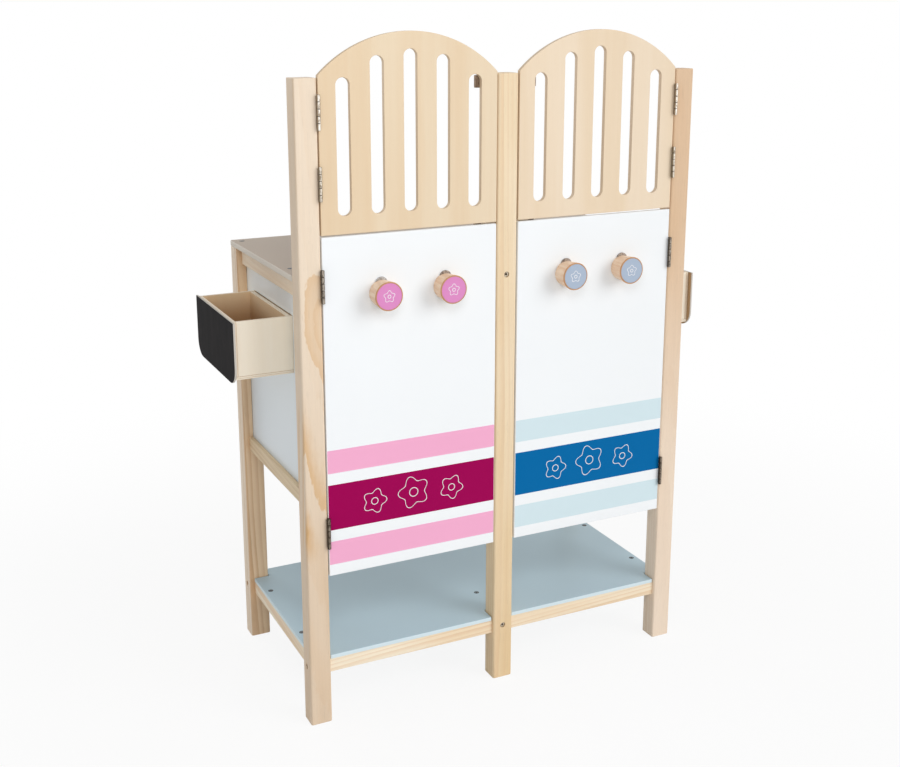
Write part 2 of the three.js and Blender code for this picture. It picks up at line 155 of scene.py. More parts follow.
class Signal:
    """What a node gives out over a surface. Sums of signals place the nodes that work them out."""

    def __init__(self, socket):
        self.socket = socket

    def through(self, kind, inputs, output=0, **settings):
        """What a new node of this kind makes of these inputs."""
        return Signal(place(self.socket.id_data, kind, inputs, **settings).outputs[output])

    def maths(self, operation, *others, **settings):
        """This signal and others in a number or a vector operation, as this signal is one or the other."""
        kind = "Math" if is_number(self) else "VectorMath"
        return self.through(kind, enumerate((self, *others)), operation=operation, **settings)

    def __add__(self, other):
        return self.maths("ADD", other)

    def __sub__(self, other):
        return self.maths("SUBTRACT", other)

    def __rsub__(self, other):
        return self * -1.0 + other

    def __mul__(self, other):
        if is_number(self) == is_number(other):
            return self.maths("MULTIPLY", other)
        vector, number = (other, self) if is_number(self) else (self, other)
        return self.through("VectorMath", {0: vector, "Scale": number}, operation="SCALE")

    __radd__ = __add__
    __rmul__ = __mul__

    def __truediv__(self, other):
        return self.maths("DIVIDE", other)

    def __abs__(self):
        return self.maths("ABSOLUTE")

    def below(self, limit):
        return self.maths("LESS_THAN", limit)

    def above(self, limit):
        return self.maths("GREATER_THAN", limit)

    def length(self):
        return self.through("VectorMath", {0: self}, "Value", operation="LENGTH")

    def part(self, axis):
        return self.through("SeparateXYZ", {"Vector": self}, axis)

    def ramp(self, low, high, out_low=0.0, out_high=1.0):
        """A smooth step as this signal goes from low to high."""
        inputs = {"Value": self, "From Min": low, "From Max": high, "To Min": out_low, "To Max": out_high}
        return self.through("MapRange", inputs, "Result", interpolation_type="SMOOTHSTEP")

    def fall(self, low, high):
        """A smooth step from 1 down to 0."""
        return self.ramp(low, high, 1.0, 0.0)

    def blend(self, first, second):
        """One colour where this signal is 0, fading into another where it is 1."""
        return self.through("Mix", {"Factor": self, 6: first, 7: second}, 2, data_type="RGBA")

    def noise(self, stretch, detail=2.0, output="Fac"):
        """Noise at so many waves a metre along each axis."""
        inputs = {"Vector": self * stretch, "Scale": 1.0, "Detail": detail, "Roughness": 0.55}
        return self.through("TexNoise", inputs, output)

    def drift(self, stretch, amount):
        """A slow wandering of the place by up to half this amount each way."""
        return (self.noise(stretch, 1.0, "Color") - (0.5, 0.5, 0.5)) * amount

    def group(self, group, inputs):
        """A signal for each output of a node group that is placed in this signal's tree."""
        node = place(self.socket.id_data, "Group", inputs, node_tree=group)
        return {socket.name: Signal(socket) for socket in node.outputs}


SURFACE = {"Color": "Color", "Roughness": "Float", "Height": "Float"}


def new_group(name, outputs, inputs):
    """A shader node group. Outputs are names with a type, inputs names with a number, a place or a colour.

    Gives the tree, a signal for each input and the sockets of the outputs.
    """
    tree = bpy.data.node_groups.new(name, "ShaderNodeTree")
    for label, value in inputs.items():
        kind = "Float" if is_number(value) else "Vector" if len(value) == 3 else "Color"
        socket = tree.interface.new_socket(name=label, in_out="INPUT", socket_type="NodeSocket" + kind)
        socket.default_value = value
    for label, kind in outputs.items():
        tree.interface.new_socket(name=label, in_out="OUTPUT", socket_type="NodeSocket" + kind)
    result = tree.nodes.new("NodeGroupOutput").inputs
    given = tree.nodes.new("NodeGroupInput").outputs
    return tree, {label: Signal(given[label]) for label in inputs}, result


def fill(sockets, **values):
    for label, value in values.items():
        feed(sockets[label], value)


# Waves a metre across and along the pine's grain, with the detail of each noise
PINE_DRIFT = (9, 9, 1.7)
PINE_RAGGED = ((170, 170, 55), 3.0)
PINE_FAINT = ((23, 23, 2.6),)
PINE_FLAMES = ((16, 16, 1.9),)
PINE_FIBRES = ((1500, 1500, 24), 3.0)
PINE_PORES = ((2300, 2300, 90), 0.0)
PINE_STREAKS = ((260, 260, 5),)
PINE_DASHES = ((620, 620, 34), 1.0)
FLAME_SHIFT = (0.31, 0.17, 0.0)
FLAME_REACH = 0.35
YEARS_A_METRE = 90.0
YEAR_SPREAD = 9 * MM
RING_RISE = (0.25, 0.92)
RING_FALL = (0.95, 1.0)
PLAIN_FADE = 60 * MM
EYE_SCALE = (1 / (25 * MM), 0, 1 / (85 * MM))
EYE_LEAN = (0.1, 0, 0)
EYE_RINGS = 2.0
EYE_RING_FALL = (0.93, 1.0)
EYE_RIM = (0.96, 1.0)
EYE_WOBBLE = ((48, 48, 14), 1.0)


def make_pine_figure():
    """Growth rings about a pith that runs along local Z, with warm flames, fibres and pores.

    The ends can be plain outside a stretch of the length, and one side can have an eye of its own rings.
    """
    tree, given, result = new_group("Pine figure", SURFACE, {
        "Vector": (0, 0, 0), "Slice": 0.0, "Lean": (0, 0, 0), "Ring Spacing": 7 * MM, "Wander": 12 * MM,
        "Raggedness": 1.0 * MM, "Ring Strength": 0.6, "Faint Patches": 0.35, "Warm Share": 0.5,
        "Lower Warmth": 0.0, "Upper Warmth": 0.0, "Plain Ends": 0.0, "Figure From": 0.0, "Figure To": 0.0,
        "Year Phase": 0.0, "Eye Place": (0, 0, 0), "Eye Strength": 0.0,
        "Light": srgb(240, 222, 198), "Ring": srgb(214, 170, 122), "Warm": srgb(230, 194, 148),
    })
    spot = given["Vector"] + given["Slice"].through("CombineXYZ", {"Z": given["Slice"]})
    along = given["Vector"].part("Z")
    flat = spot + spot.drift(PINE_DRIFT, given["Wander"]) + given["Lean"] * along
    radius = (flat * (1, 1, 0)).length()
    uneven = {"W": radius * YEARS_A_METRE, "Scale": 1.0, "Detail": 1.0}
    radius += YEAR_SPREAD * radius.through("TexNoise", uneven, "Fac", noise_dimensions="1D")
    ragged = spot.noise(*PINE_RAGGED)
    turns = (radius + ragged * given["Raggedness"]) / given["Ring Spacing"]
    tooth = turns.maths("FRACT")
    year = 0.9 * turns.maths("FLOOR") + given["Year Phase"]
    strength = 0.32 * year.maths("SINE") + 0.66
    patch = spot.noise(*PINE_FAINT).ramp(0.3, 0.62, given["Faint Patches"], 1.0)
    lines = tooth.ramp(*RING_RISE) * tooth.fall(*RING_FALL) * strength * patch

    above_foot = (along - given["Figure From"]).ramp(-PLAIN_FADE, 0.0)
    below_top = (along - given["Figure To"]).fall(0.0, PLAIN_FADE)
    plain = (1.0 - above_foot * below_top) * given["Plain Ends"]
    lines = (lines * (1.0 - plain)).maths("MULTIPLY", given["Ring Strength"], use_clamp=True)

    reach = given["Vector"] - given["Eye Place"]
    reach = ((reach + reach.part("Z") * EYE_LEAN) * EYE_SCALE).length()
    reach += 0.55 * spot.noise(*EYE_WOBBLE) + 0.3 * ragged - 0.42
    tooth = (reach * EYE_RINGS).maths("FRACT")
    eye = 0.3 * tooth.ramp(*RING_RISE) * tooth.fall(*EYE_RING_FALL) + 0.7
    lines = lines.maths("MAXIMUM", eye * reach.fall(*EYE_RIM) * given["Eye Strength"])

    flame = (spot + FLAME_SHIFT).noise(*PINE_FLAMES).ramp(0.46, 0.66) * given["Warm Share"]
    gradient = along.ramp(-FLAME_REACH, FLAME_REACH, given["Lower Warmth"], given["Upper Warmth"])
    flame = flame.maths("ADD", gradient, use_clamp=True)
    fibre = spot.noise(*PINE_FIBRES)
    pores = spot.noise(*PINE_PORES).ramp(0.70, 0.78)
    dashes = spot.noise(*PINE_DASHES).ramp(0.66, 0.74)
    shade = 0.07 * fibre + 0.93 + 0.08 * spot.noise(*PINE_STREAKS) - 0.07 * pores - 0.07 * dashes
    colour = lines.blend(flame.blend(given["Light"], given["Warm"]), given["Ring"])
    fill(result, Color=colour * shade, Roughness=0.16 * fibre + 0.46, Height=0.5 * lines + fibre)
    return tree


VENEER_DRIFT = (6, 6, 3)
VENEER_DRIFT_AMOUNT = 20 * MM
VENEER_BROAD = ((17, 17, 1.2),)
VENEER_NARROW = ((130, 130, 3.5),)
VENEER_FIBRES = ((1700, 1700, 34), 3.0)


def make_veneer_figure():
    """Sliced veneer: broad soft streaks and fine fibres along local Z."""
    tree, given, result = new_group("Veneer figure", SURFACE, {
        "Vector": (0, 0, 0), "Light": srgb(240, 220, 192), "Dark": srgb(232, 204, 168),
    })
    spot = given["Vector"]
    bent = spot + spot.drift(VENEER_DRIFT, VENEER_DRIFT_AMOUNT)
    broad = bent.noise(*VENEER_BROAD).ramp(0.36, 0.64)
    share = (0.6 * bent.noise(*VENEER_NARROW)).maths("ADD", 0.55 * broad, use_clamp=True)
    fibre = spot.noise(*VENEER_FIBRES)
    colour = share.blend(given["Light"], given["Dark"]) * (0.055 * fibre + 0.97)
    fill(result, Color=colour, Roughness=0.14 * fibre + 0.40, Height=fibre)
    return tree


PLY_GRAIN = ((420, 420, 420), 3.0)


def make_ply_edge():
    """The layers that show on a plywood board's cut edges. Depth runs through the board."""
    tree, given, result = new_group("Plywood edge", {"Color": "Color"}, {
        "Vector": (0, 0, 0), "Face": srgb(236, 214, 186), "Core": srgb(196, 164, 128),
        "Depth": 0.0, "Layer": 1.5 * MM, "Edge": 0.0,
    })
    dark_layer = (given["Depth"] / given["Layer"]).maths("PINGPONG", 1.0).ramp(0.42, 0.58)
    dark_share = dark_layer * (0.9 * given["Vector"].noise(*PLY_GRAIN) + 0.2) * given["Edge"]
    fill(result, Color=dark_share.blend(given["Face"], given["Core"]))
    return tree


def make_band():
    """A mask that is 1 between a low and a high place and 0 outside."""
    tree, given, result = new_group("Printed band", {"Mask": "Float"}, {
        "Place": 0.0, "Low": 0.0, "High": 1.0,
    })
    fill(result, Mask=given["Place"].above(given["Low"]) * given["Place"].below(given["High"]))
    return tree


PAINT_CLOUDS = ((7, 7, 7),)
PAINT_PEEL = ((700, 700, 700), 2.0)


def make_paint_film():
    """Sprayed paint: fine orange peel, with soft patches of shade and sheen."""
    tree, given, result = new_group("Paint film", SURFACE, {
        "Vector": (0, 0, 0), "Paint": srgb(240, 240, 240), "Sheen": 0.4,
    })
    cloud = given["Vector"].noise(*PAINT_CLOUDS)
    peel = given["Vector"].noise(*PAINT_PEEL)
    colour = given["Paint"] * (0.03 * cloud + 0.985)
    fill(result, Color=colour, Roughness=0.12 * peel + given["Sheen"], Height=peel)
    return tree


PINE_FIGURE = make_pine_figure()
VENEER_FIGURE = make_veneer_figure()
PLY_EDGE = make_ply_edge()
BAND = make_band()
PAINT_FILM = make_paint_film()


# Materials

WOOD_SPECULAR = 0.35
PAINT_RELIEF = 0.01 * MM


def clear_tree(owner):
    """The empty node tree of a new material or world."""
    owner.use_nodes = True
    owner.node_tree.nodes.clear()
    return owner.node_tree


def new_material(name, specular=0.5, metallic=0.0):
    """A material, its shader, and the place and the normal of the surface in the object's own axes."""
    material = bpy.data.materials.new(name)
    tree = clear_tree(material)
    shader = place(tree, "BsdfPrincipled", {"Specular IOR Level": specular, "Metallic": metallic})
    place(tree, "OutputMaterial", {"Surface": shader.outputs["BSDF"]})
    where = place(tree, "TexCoord").outputs
    return material, shader, Signal(where["Object"]), Signal(where["Normal"])


def give_surface(shader, finish, relief):
    """Feeds the shader a finish's colour, its roughness and its height, which is this deep."""
    bump = place(shader.id_data, "Bump", {"Height": finish["Height"], "Distance": relief, "Strength": 1.0})
    feed(shader.inputs["Base Color"], finish["Color"])
    feed(shader.inputs["Roughness"], finish["Roughness"])
    feed(shader.inputs["Normal"], bump.outputs["Normal"])


GRAIN_TURNS = {"x": (0, math.pi / 2, 0), "y": (math.pi / 2, 0, 0), "z": (0, 0, 0)}


def grain_spot(spot, centre, along, offset):
    """The place on a piece from its centre, turned so that the grain is along local Z."""
    turn = GRAIN_TURNS[along]
    rotation = Matrix.Rotation(turn[1], 3, "Y") @ Matrix.Rotation(turn[0], 3, "X")
    location = Vector(offset) - rotation @ Vector(centre)
    return spot.through("Mapping", {"Vector": spot, "Location": location, "Rotation": turn})


PAINTED_SHADE_FADE = 0.4
PAINTED_SHADE_FACING = -0.6
FIGURED_PINE = {"Faint Patches": 0.9, "Raggedness": 4 * MM, "Plain Ends": 0.9}


def pine(name, centre, along, pith, colours, lean=(0, 0, 0), spacing=7 * MM, strength=0.6, warm=0.5,
         lower=0.0, upper=0.0, phase=0.0, figured=None, eye=None, painted_shade=None):
    """Sanded, clear-varnished pine. Pith is the piece's middle as seen from the rings' middle, and a slice.

    Figured, if given, is the stretch that shows rings, eye the middle of an eye and its strength,
    and the last, if given, is painted shade: the axis that a face painted darker looks back along, its
    factor, and the height where it starts.
    """
    material, shader, here, facing = new_material(name, WOOD_SPECULAR)
    spot = grain_spot(here, centre, along, (pith[0], pith[1], 0))
    light, ring, warm_colour = colours
    inputs = {
        "Vector": spot, "Slice": pith[2], "Lean": lean, "Ring Spacing": spacing, "Ring Strength": strength,
        "Warm Share": warm, "Lower Warmth": lower, "Upper Warmth": upper, "Year Phase": phase,
        "Light": light, "Ring": ring, "Warm": warm_colour,
    }
    if figured:
        inputs |= FIGURED_PINE
        inputs["Figure From"], inputs["Figure To"] = figured
    if eye:
        inputs["Eye Place"], inputs["Eye Strength"] = eye
    figure = spot.group(PINE_FIGURE, inputs)
    # Painted shade: faces that look back along the axis are painted darker from the given height up.
    if painted_shade:
        axis, factor, start = painted_shade
        share = facing.part(axis).below(PAINTED_SHADE_FACING) * here.part("Z").ramp(start, start + PAINTED_SHADE_FADE)
        figure["Color"] = share.blend(figure["Color"], figure["Color"] * factor)
    give_surface(shader, figure, relief=0.06 * MM)
    return material


ON_FACE = 0.6


def plywood(name, centre, along, through, layer, offset, light, dark, core, inside=None):
    """Varnished plywood with its layers on the edges. Through is the axis of the board's thickness.

    Inside, if given, is +1 or -1 for the side that faces into a drawer; that side gets painted shade, darker
    and warmer toward the drawer's floor.
    """
    material, shader, here, facing = new_material(name, WOOD_SPECULAR)
    spot = grain_spot(here, centre, along, offset)
    figure = spot.group(VENEER_FIGURE, {"Vector": spot, "Light": light, "Dark": dark})
    normal = facing.part(through.upper())
    colour = here.group(PLY_EDGE, {
        "Vector": here, "Face": figure["Color"], "Core": core, "Depth": here.part(through.upper()),
        "Layer": layer, "Edge": abs(normal).below(ON_FACE),
    })["Color"]
    if inside:
        # Painted shade inside the drawer, darker and warmer toward its floor.
        low, high = (DRAWER_FLOOR + share * DRAWER_DEPTH for share in PAINTED_SHADE_SHARES)
        warm = here.part("Z").ramp(low, high).blend(DRAWER_PAINTED_SHADE_LOW, DRAWER_PAINTED_SHADE_HIGH)
        colour = (normal * inside).above(ON_FACE).blend(colour, colour * warm)
    give_surface(shader, {**figure, "Color": colour}, relief=0.03 * MM)
    return material


PANEL_PAINTED_LIGHT_RISE = (0.56, 0.61)
BOARD_TOP_FACING = 0.75


def painted(name, colour, sheen, edge_colour=None, painted_light_colour=None):
    """Satin paint, with another colour on the board's edges, or a lighter one toward its top as painted
    light, if one is given.
    """
    material, shader, here, facing = new_material(name, specular=0.4)
    # Painted light: a lighter paint toward the top of the board.
    if painted_light_colour:
        colour = here.part("Z").ramp(*PANEL_PAINTED_LIGHT_RISE).blend(colour, painted_light_colour)
    film = here.group(PAINT_FILM, {"Vector": here, "Paint": colour, "Sheen": sheen})
    if edge_colour:
        edge = abs(facing.part("Z")).below(BOARD_TOP_FACING)
        film["Color"] = edge.blend(film["Color"], edge_colour)
    give_surface(shader, film, PAINT_RELIEF)
    return material


# The printed stripes: low and high edge in mm above the floor, and which of the two paints
STRIPES = ((251.5, 287.0, "pale"), (304.5, 373.5, "deep"), (391.0, 425.5, "pale"))
FRONT_FACING = -0.9
DOOR_SHEEN = 0.34


def striped_door(name, pale, deep):
    """White satin door with two pale bands and one deep one printed across its front."""
    material, shader, here, facing = new_material(name, specular=0.06)
    height = here.part("Z")
    front = facing.part("Y").below(FRONT_FACING)
    colour = DOOR_WHITE
    for low, high, tone in STRIPES:
        mask = height.group(BAND, {"Place": height, "Low": low * MM, "High": high * MM})["Mask"]
        colour = (mask * front).blend(colour, pale if tone == "pale" else deep)
    film = here.group(PAINT_FILM, {"Vector": here, "Paint": colour, "Sheen": DOOR_SHEEN})
    give_surface(shader, film, PAINT_RELIEF)
    return material


CHALK_SMEARS = ((38, 60, 22), 4.0)
CHALK_GRIT = ((1400, 1400, 1400), 1.0)
HARDBOARD_FLECKS = ((300, 300, 300), 4.0)
PLATE_BACK_FACING = -0.5
PLATE_FRONT_FACING = 0.8


def chalk_board(name, outward):
    """Matt black front, pale cut edge and brown back of a thin hardboard plate."""
    material, shader, here, normal = new_material(name, specular=0.06)
    facing = normal.part("X") * outward
    grit = here.noise(*CHALK_GRIT)
    black = here.noise(*CHALK_SMEARS).ramp(0.35, 0.8).blend(BOARD_BLACK, BOARD_DUST)
    back = here.noise(*HARDBOARD_FLECKS).blend(HARDBOARD_DARK, HARDBOARD_LIGHT)
    colour = facing.above(PLATE_BACK_FACING).blend(back, BOARD_EDGE_GREY)
    colour = facing.above(PLATE_FRONT_FACING).blend(colour, black)
    give_surface(shader, {"Color": colour, "Roughness": 0.2 * grit + 0.62, "Height": grit}, relief=0.02 * MM)
    return material


METAL_PATCHES = ((500, 500, 170), 3.0)
METAL_SCRATCHES = ((3000, 3000, 500), 1.0)
PAINTED_REFLECTION_FACING = (-0.92, -0.72)


def metal(name, colour, roughness, tarnish_and_dark_reflection, painted_reflection=False):
    """Plated steel with patches of duller, darker plating.

    The last argument is for hinges: a painted reflection, bright where a barrel faces the front and dark on
    its sides, with the plates inside the seam in plain light steel.
    """
    material, shader, here, normal = new_material(name, metallic=0.9)
    patches = here.noise(*METAL_PATCHES)
    surface = patches.ramp(0.42, 0.66).blend(colour, tarnish_and_dark_reflection)
    if painted_reflection:
        # Painted reflection on hinges: the barrel keeps its bright colour where it faces the front and takes
        # the darker one on its sides.
        surface = normal.part("Y").ramp(*PAINTED_REFLECTION_FACING).blend(surface, tarnish_and_dark_reflection)
        surface = here.part("Y").above(SEAM_START).blend(surface, PLATE_STEEL)
    scratches = here.noise(*METAL_SCRATCHES)
    finish = {"Color": surface, "Roughness": 0.3 * patches + roughness, "Height": scratches}
    give_surface(shader, finish, relief=0.01 * MM)
    return material


PRINT_SHEEN = 0.36


def printed(name, colour):
    material, shader, here, _ = new_material(name)
    film = here.group(PAINT_FILM, {"Vector": here, "Paint": colour, "Sheen": PRINT_SHEEN})
    give_surface(shader, film, relief=0.008 * MM)
    return material


BEECH_STREAKS = ((240, 14, 240), 2.0)
BEECH_FLECKS = ((1300, 260, 1300), 1.0)
KNOB_RIM_DEPTH = 1.6 * MM
RIM_START_SHARE = 0.6


def turned_beech(name, front):
    """Varnished beech turned on a lathe, its flecks along the axis and its front rim a shade darker."""
    material, shader, here, _ = new_material(name, WOOD_SPECULAR)
    streaks = here.noise(*BEECH_STREAKS)
    flecks = here.noise(*BEECH_FLECKS).ramp(0.62, 0.70)
    body = streaks.ramp(0.3, 0.7).blend(KNOB_LIGHT, KNOB_DARK)
    rim = here.part("Y").fall(front + RIM_START_SHARE * KNOB_RIM_DEPTH, front + KNOB_RIM_DEPTH)
    colour = rim.blend(body * (1.0 - 0.08 * flecks), KNOB_RIM)
    finish = {"Color": colour, "Roughness": 0.15 * streaks + 0.36, "Height": streaks}
    give_surface(shader, finish, relief=0.03 * MM)
    return material


DOOR_WHITE = srgb(245, 248, 250)
PANEL_WHITE = srgb(231, 239, 244)
# Painted light: the side panel's paint lightens toward its top, above the drawer.
PANEL_PAINTED_LIGHT_WHITE = srgb(250, 255, 255)
BOARD_BLACK = srgb(25, 23, 24)
BOARD_DUST = srgb(34, 31, 32)
BOARD_EDGE_GREY = srgb(205, 200, 192)
HARDBOARD_LIGHT = srgb(190, 158, 122)
HARDBOARD_DARK = srgb(160, 128, 96)
KNOB_LIGHT = srgb(243, 216, 188)
KNOB_DARK = srgb(230, 192, 158)
KNOB_RIM = srgb(196, 146, 104)
STRIPE_PAINTS = {
    "left": (srgb(245, 176, 209), srgb(159, 0, 83)),
    "right": (srgb(213, 232, 238), srgb(0, 105, 167)),
}
DISC_PAINTS = {"left": srgb(220, 136, 194), "right": srgb(168, 183, 203)}

PLATE_STEEL = srgb(206, 200, 190)
SEAM_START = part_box("door_left")[0].y + 0.5 * MM
# Hinge platings: lighter and darker copies of one plating, as painted reflection for how each hinge catches
# the light. The second colour is tarnish in patches and also the painted dark reflection on the barrels'
# sides.
HINGE_METALS = {
    "gate_upper": metal("Hinge plating, bright painted reflection", srgb(238, 232, 222), 0.22, srgb(150, 132, 110), True),
    "gate_lower": metal("Hinge plating, light painted reflection", srgb(222, 213, 200), 0.24, srgb(136, 122, 102), True),
    "door_upper": metal("Hinge plating, dull painted reflection", srgb(168, 158, 146), 0.26, srgb(90, 82, 73), True),
    "door_lower": metal("Hinge plating, dark painted reflection", srgb(140, 128, 114), 0.26, srgb(64, 54, 46), True),
}
BOLT_METAL = metal("Zinc bolt", srgb(202, 190, 172), 0.3, srgb(132, 116, 98))
SCREW_METAL = metal("Black screw", srgb(150, 154, 158), 0.35, srgb(78, 80, 84))
SCREW_SHADOW = metal("Screw hole shadow", srgb(62, 68, 72), 0.5, srgb(44, 48, 52))
PAINTED_SHADOW_FINISH = metal("Socket shadow", srgb(72, 60, 46), 0.5, srgb(50, 42, 34))
MAGNET_FINISH = metal("Magnet case", srgb(158, 136, 116), 0.5, srgb(118, 98, 82))
# The knob backings: one plain metal, and a lighter copy of it for the left outer knob as painted light.
BACKING_FINISHES = {
    "light": metal("Knob backing with painted light", srgb(190, 188, 186), 0.35, srgb(152, 148, 144)),
    "dark": metal("Dull knob backing", srgb(164, 152, 142), 0.35, srgb(120, 106, 96)),
}
COUNTER_PAINT = painted("Taupe counter", srgb(184, 168, 151), 0.40, edge_colour=srgb(218, 209, 195))
# The shelf's lighter edge colour is a painted highlight along its rim.
SHELF_PAINT = painted("Grey-blue shelf", srgb(184, 208, 220), 0.36, edge_colour=srgb(214, 231, 238))
PANEL_PAINT = painted("White side panel", PANEL_WHITE, 0.34, painted_light_colour=PANEL_PAINTED_LIGHT_WHITE)
DISC_FINISHES = {side: printed("Knob disc " + side, colour) for side, colour in DISC_PAINTS.items()}
PRINT_WHITE = printed("White print", srgb(240, 238, 240))


# Making pieces


def new_object(name, data):
    """An object with this data, in the scene."""
    made = bpy.data.objects.new(name, data)
    bpy.context.scene.collection.objects.link(made)
    return made


def new_piece(name, bm, body, material, stands_for=()):
    """A finished piece from a bmesh that is already in its place."""
    bmesh.ops.recalc_face_normals(bm, faces=bm.faces)
    mesh = bpy.data.meshes.new(name)
    bm.to_mesh(mesh)
    bm.free()
    if "custom_normal" in mesh.attributes:
        mesh.attributes.remove(mesh.attributes["custom_normal"])
    for polygon in mesh.polygons:
        polygon.use_smooth = True
    mesh.set_sharp_from_angle(angle=SHADE_ANGLE)
    mesh.materials.clear()
    mesh.materials.append(material)
    piece = new_object(name, mesh)
    adjust(piece.modifiers.new("Even shading", "WEIGHTED_NORMAL"), keep_sharp=True)
    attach(piece, body)
    if stands_for:
        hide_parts(*stands_for)


def merged_copy(node):
    """A CAD node's solid as a bmesh, its loose triangles joined and its flat faces whole."""
    bm = bmesh.new()
    bm.from_mesh(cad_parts[node].data)
    bmesh.ops.remove_doubles(bm, verts=bm.verts, dist=MERGE_DISTANCE)
    bmesh.ops.dissolve_limit(bm, angle_limit=FLAT_ANGLE, verts=bm.verts, edges=bm.edges)
    return bm


def round_edges(bm, edges, width, segments):
    bmesh.ops.bevel(
        bm, geom=edges, offset=width, offset_type="OFFSET", segments=segments, profile=0.5,
        affect="EDGES", material=-1, clamp_overlap=True,
    )


def ease(bm, width, segments=2, angle=SHARP_EDGE):
    """Rounds every edge that is sharper than the angle."""
    round_edges(bm, [edge for edge in bm.edges if edge.calc_face_angle(0) > angle], width, segments)


def box(bm, low, high):
    """A block between two corners."""
    low, high = Vector(low), Vector(high)
    made = bmesh.ops.create_cube(bm, size=1)["verts"]
    bmesh.ops.scale(bm, vec=high - low, verts=made)
    bmesh.ops.translate(bm, vec=(low + high) / 2, verts=made)


def rod(bm, centre, radius, length, axis=UP, segments=24):
    """A capped round rod about its centre, along an axis. Gives its vertices."""
    made = bmesh.ops.create_cone(
        bm, cap_ends=True, cap_tris=False, segments=segments, radius1=radius, radius2=radius, depth=length,
    )["verts"]
    turn = Vector(axis).to_track_quat("Z", "Y").to_matrix()
    bmesh.ops.rotate(bm, cent=(0, 0, 0), matrix=turn, verts=made)
    bmesh.ops.translate(bm, vec=centre, verts=made)
    return made


def stud(bm, x, y, face, size, segments, outward=1):
    """An upright rod. Size is its radius, how high it stands out of a face and how deep it goes behind it."""
    radius, height, root = size
    rod(bm, (x, y, face + outward * (height - root) / 2), radius, height + root, segments=segments)


def thicken(bm, depth):
    """Extrudes a flat outline into a board."""
    pushed = bmesh.ops.extrude_face_region(bm, geom=bm.faces[:])["geom"]
    moved = [item for item in pushed if isinstance(item, bmesh.types.BMVert)]
    bmesh.ops.translate(bm, vec=depth, verts=moved)


def turned(bm, profile, centre, steps=72):
    """A closed turned shape from (radius, distance out) pairs, its axis pointing to the front."""
    corners = [bm.verts.new((radius, -out, 0)) for radius, out in profile]
    edges = [bm.edges.new(pair) for pair in zip(corners, corners[1:])]
    bmesh.ops.spin(
        bm, geom=[*corners, *edges], cent=(0, 0, 0), axis=(0, 1, 0), dvec=(0, 0, 0),
        angle=2 * math.pi, steps=steps, use_merge=True, use_duplicate=False,
    )
    bmesh.ops.remove_doubles(bm, verts=bm.verts, dist=MERGE_DISTANCE)
    bmesh.ops.translate(bm, vec=centre, verts=bm.verts)


def cut_away(bm, cutter):
    """The first bmesh less the second, as a new one. Both are used up."""
    objects = []
    for shape in (bm, cutter):
        mesh = bpy.data.meshes.new("shape")
        bmesh.ops.recalc_face_normals(shape, faces=shape.faces)
        shape.to_mesh(mesh)
        shape.free()
        objects.append(new_object("shape", mesh))
    cut = objects[0].modifiers.new("Cut", "BOOLEAN")
    adjust(cut, operation="DIFFERENCE", solver="EXACT", object=objects[1])
    bpy.context.view_layer.update()
    evaluated = objects[0].evaluated_get(bpy.context.evaluated_depsgraph_get())
    result = bmesh.new()
    result.from_mesh(evaluated.data)
    for mesh in [item.data for item in objects]:
        bpy.data.meshes.remove(mesh)
    bmesh.ops.remove_doubles(result, verts=result.verts, dist=MERGE_DISTANCE)
    return result


def keep_node(name, material, edge=BOARD_EDGE):
    """A CAD node that stays: its finish, and modifiers that ease its edges."""
    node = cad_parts[name]
    node.data.materials.clear()
    node.data.materials.append(material)
    adjust(node.modifiers.new("Join triangles", "WELD"), merge_threshold=MERGE_DISTANCE)
    bevel = node.modifiers.new("Eased edges", "BEVEL")
    adjust(bevel, width=edge, segments=2, limit_method="ANGLE", angle_limit=SHARP_EDGE, harden_normals=False)


# Posts with their bolts

BOLT_RADIUS = 3.7 * MM
BOLT_EDGE = 0.2 * MM
BOLT_BORE_RADIUS = 4.3 * MM
BOLT_BORE_DEPTH = 3.4 * MM
BOLT_SINK = 1.7 * MM
SOCKET_RADIUS = 1.9 * MM
SOCKET_DEPTH = 1.0 * MM
# Painted shadow: thin dark discs at the ends of a bolt's bore and socket.
SHADOW_DISC_THICKNESS = 0.25 * MM
SHADOW_DISC_CLEARANCE = 0.02 * MM
SOCKET_SHADOW_SHARE = 0.85

# Each post's pine: pith offset and slice, lean of the pith, ring spacing, ring strength, warm share, warmth
# at the foot and at the top, which years are the strong ones, and the figured stretch and the eye if any
POST_FIGURES = {
    "front_left_post": (
        (-16 * MM, -38.5 * MM, 0.21), (0.004, 0.081, 0), 12 * MM, 0.85, 0.4, 0.5, -0.1, 1.55,
        (-0.16, -0.01), ((0, 0, 0.1275), 0.40),
    ),
    "front_centre_post": ((42 * MM, -30 * MM, 0.83), (0.022, 0.016, 0), 7 * MM, 0.45, 0.35, 0.5, -0.05, 2.2),
    "front_right_post": ((3.8 * MM, -70 * MM, 1.37), (-0.006, -0.022, 0), 7 * MM, 0.3, 0.2, -0.1, 0.9, 0.0),
    "rear_left_post": ((55 * MM, -68 * MM, 2.11), (0.012, -0.016, 0), 6 * MM, 0.7, 0.3, 0.0, 0.0, 1.0),
    "rear_right_post": ((-62 * MM, -76 * MM, 2.63), (-0.012, -0.016, 0), 6 * MM, 0.7, 0.3, 0.0, 0.0, 3.0),
}
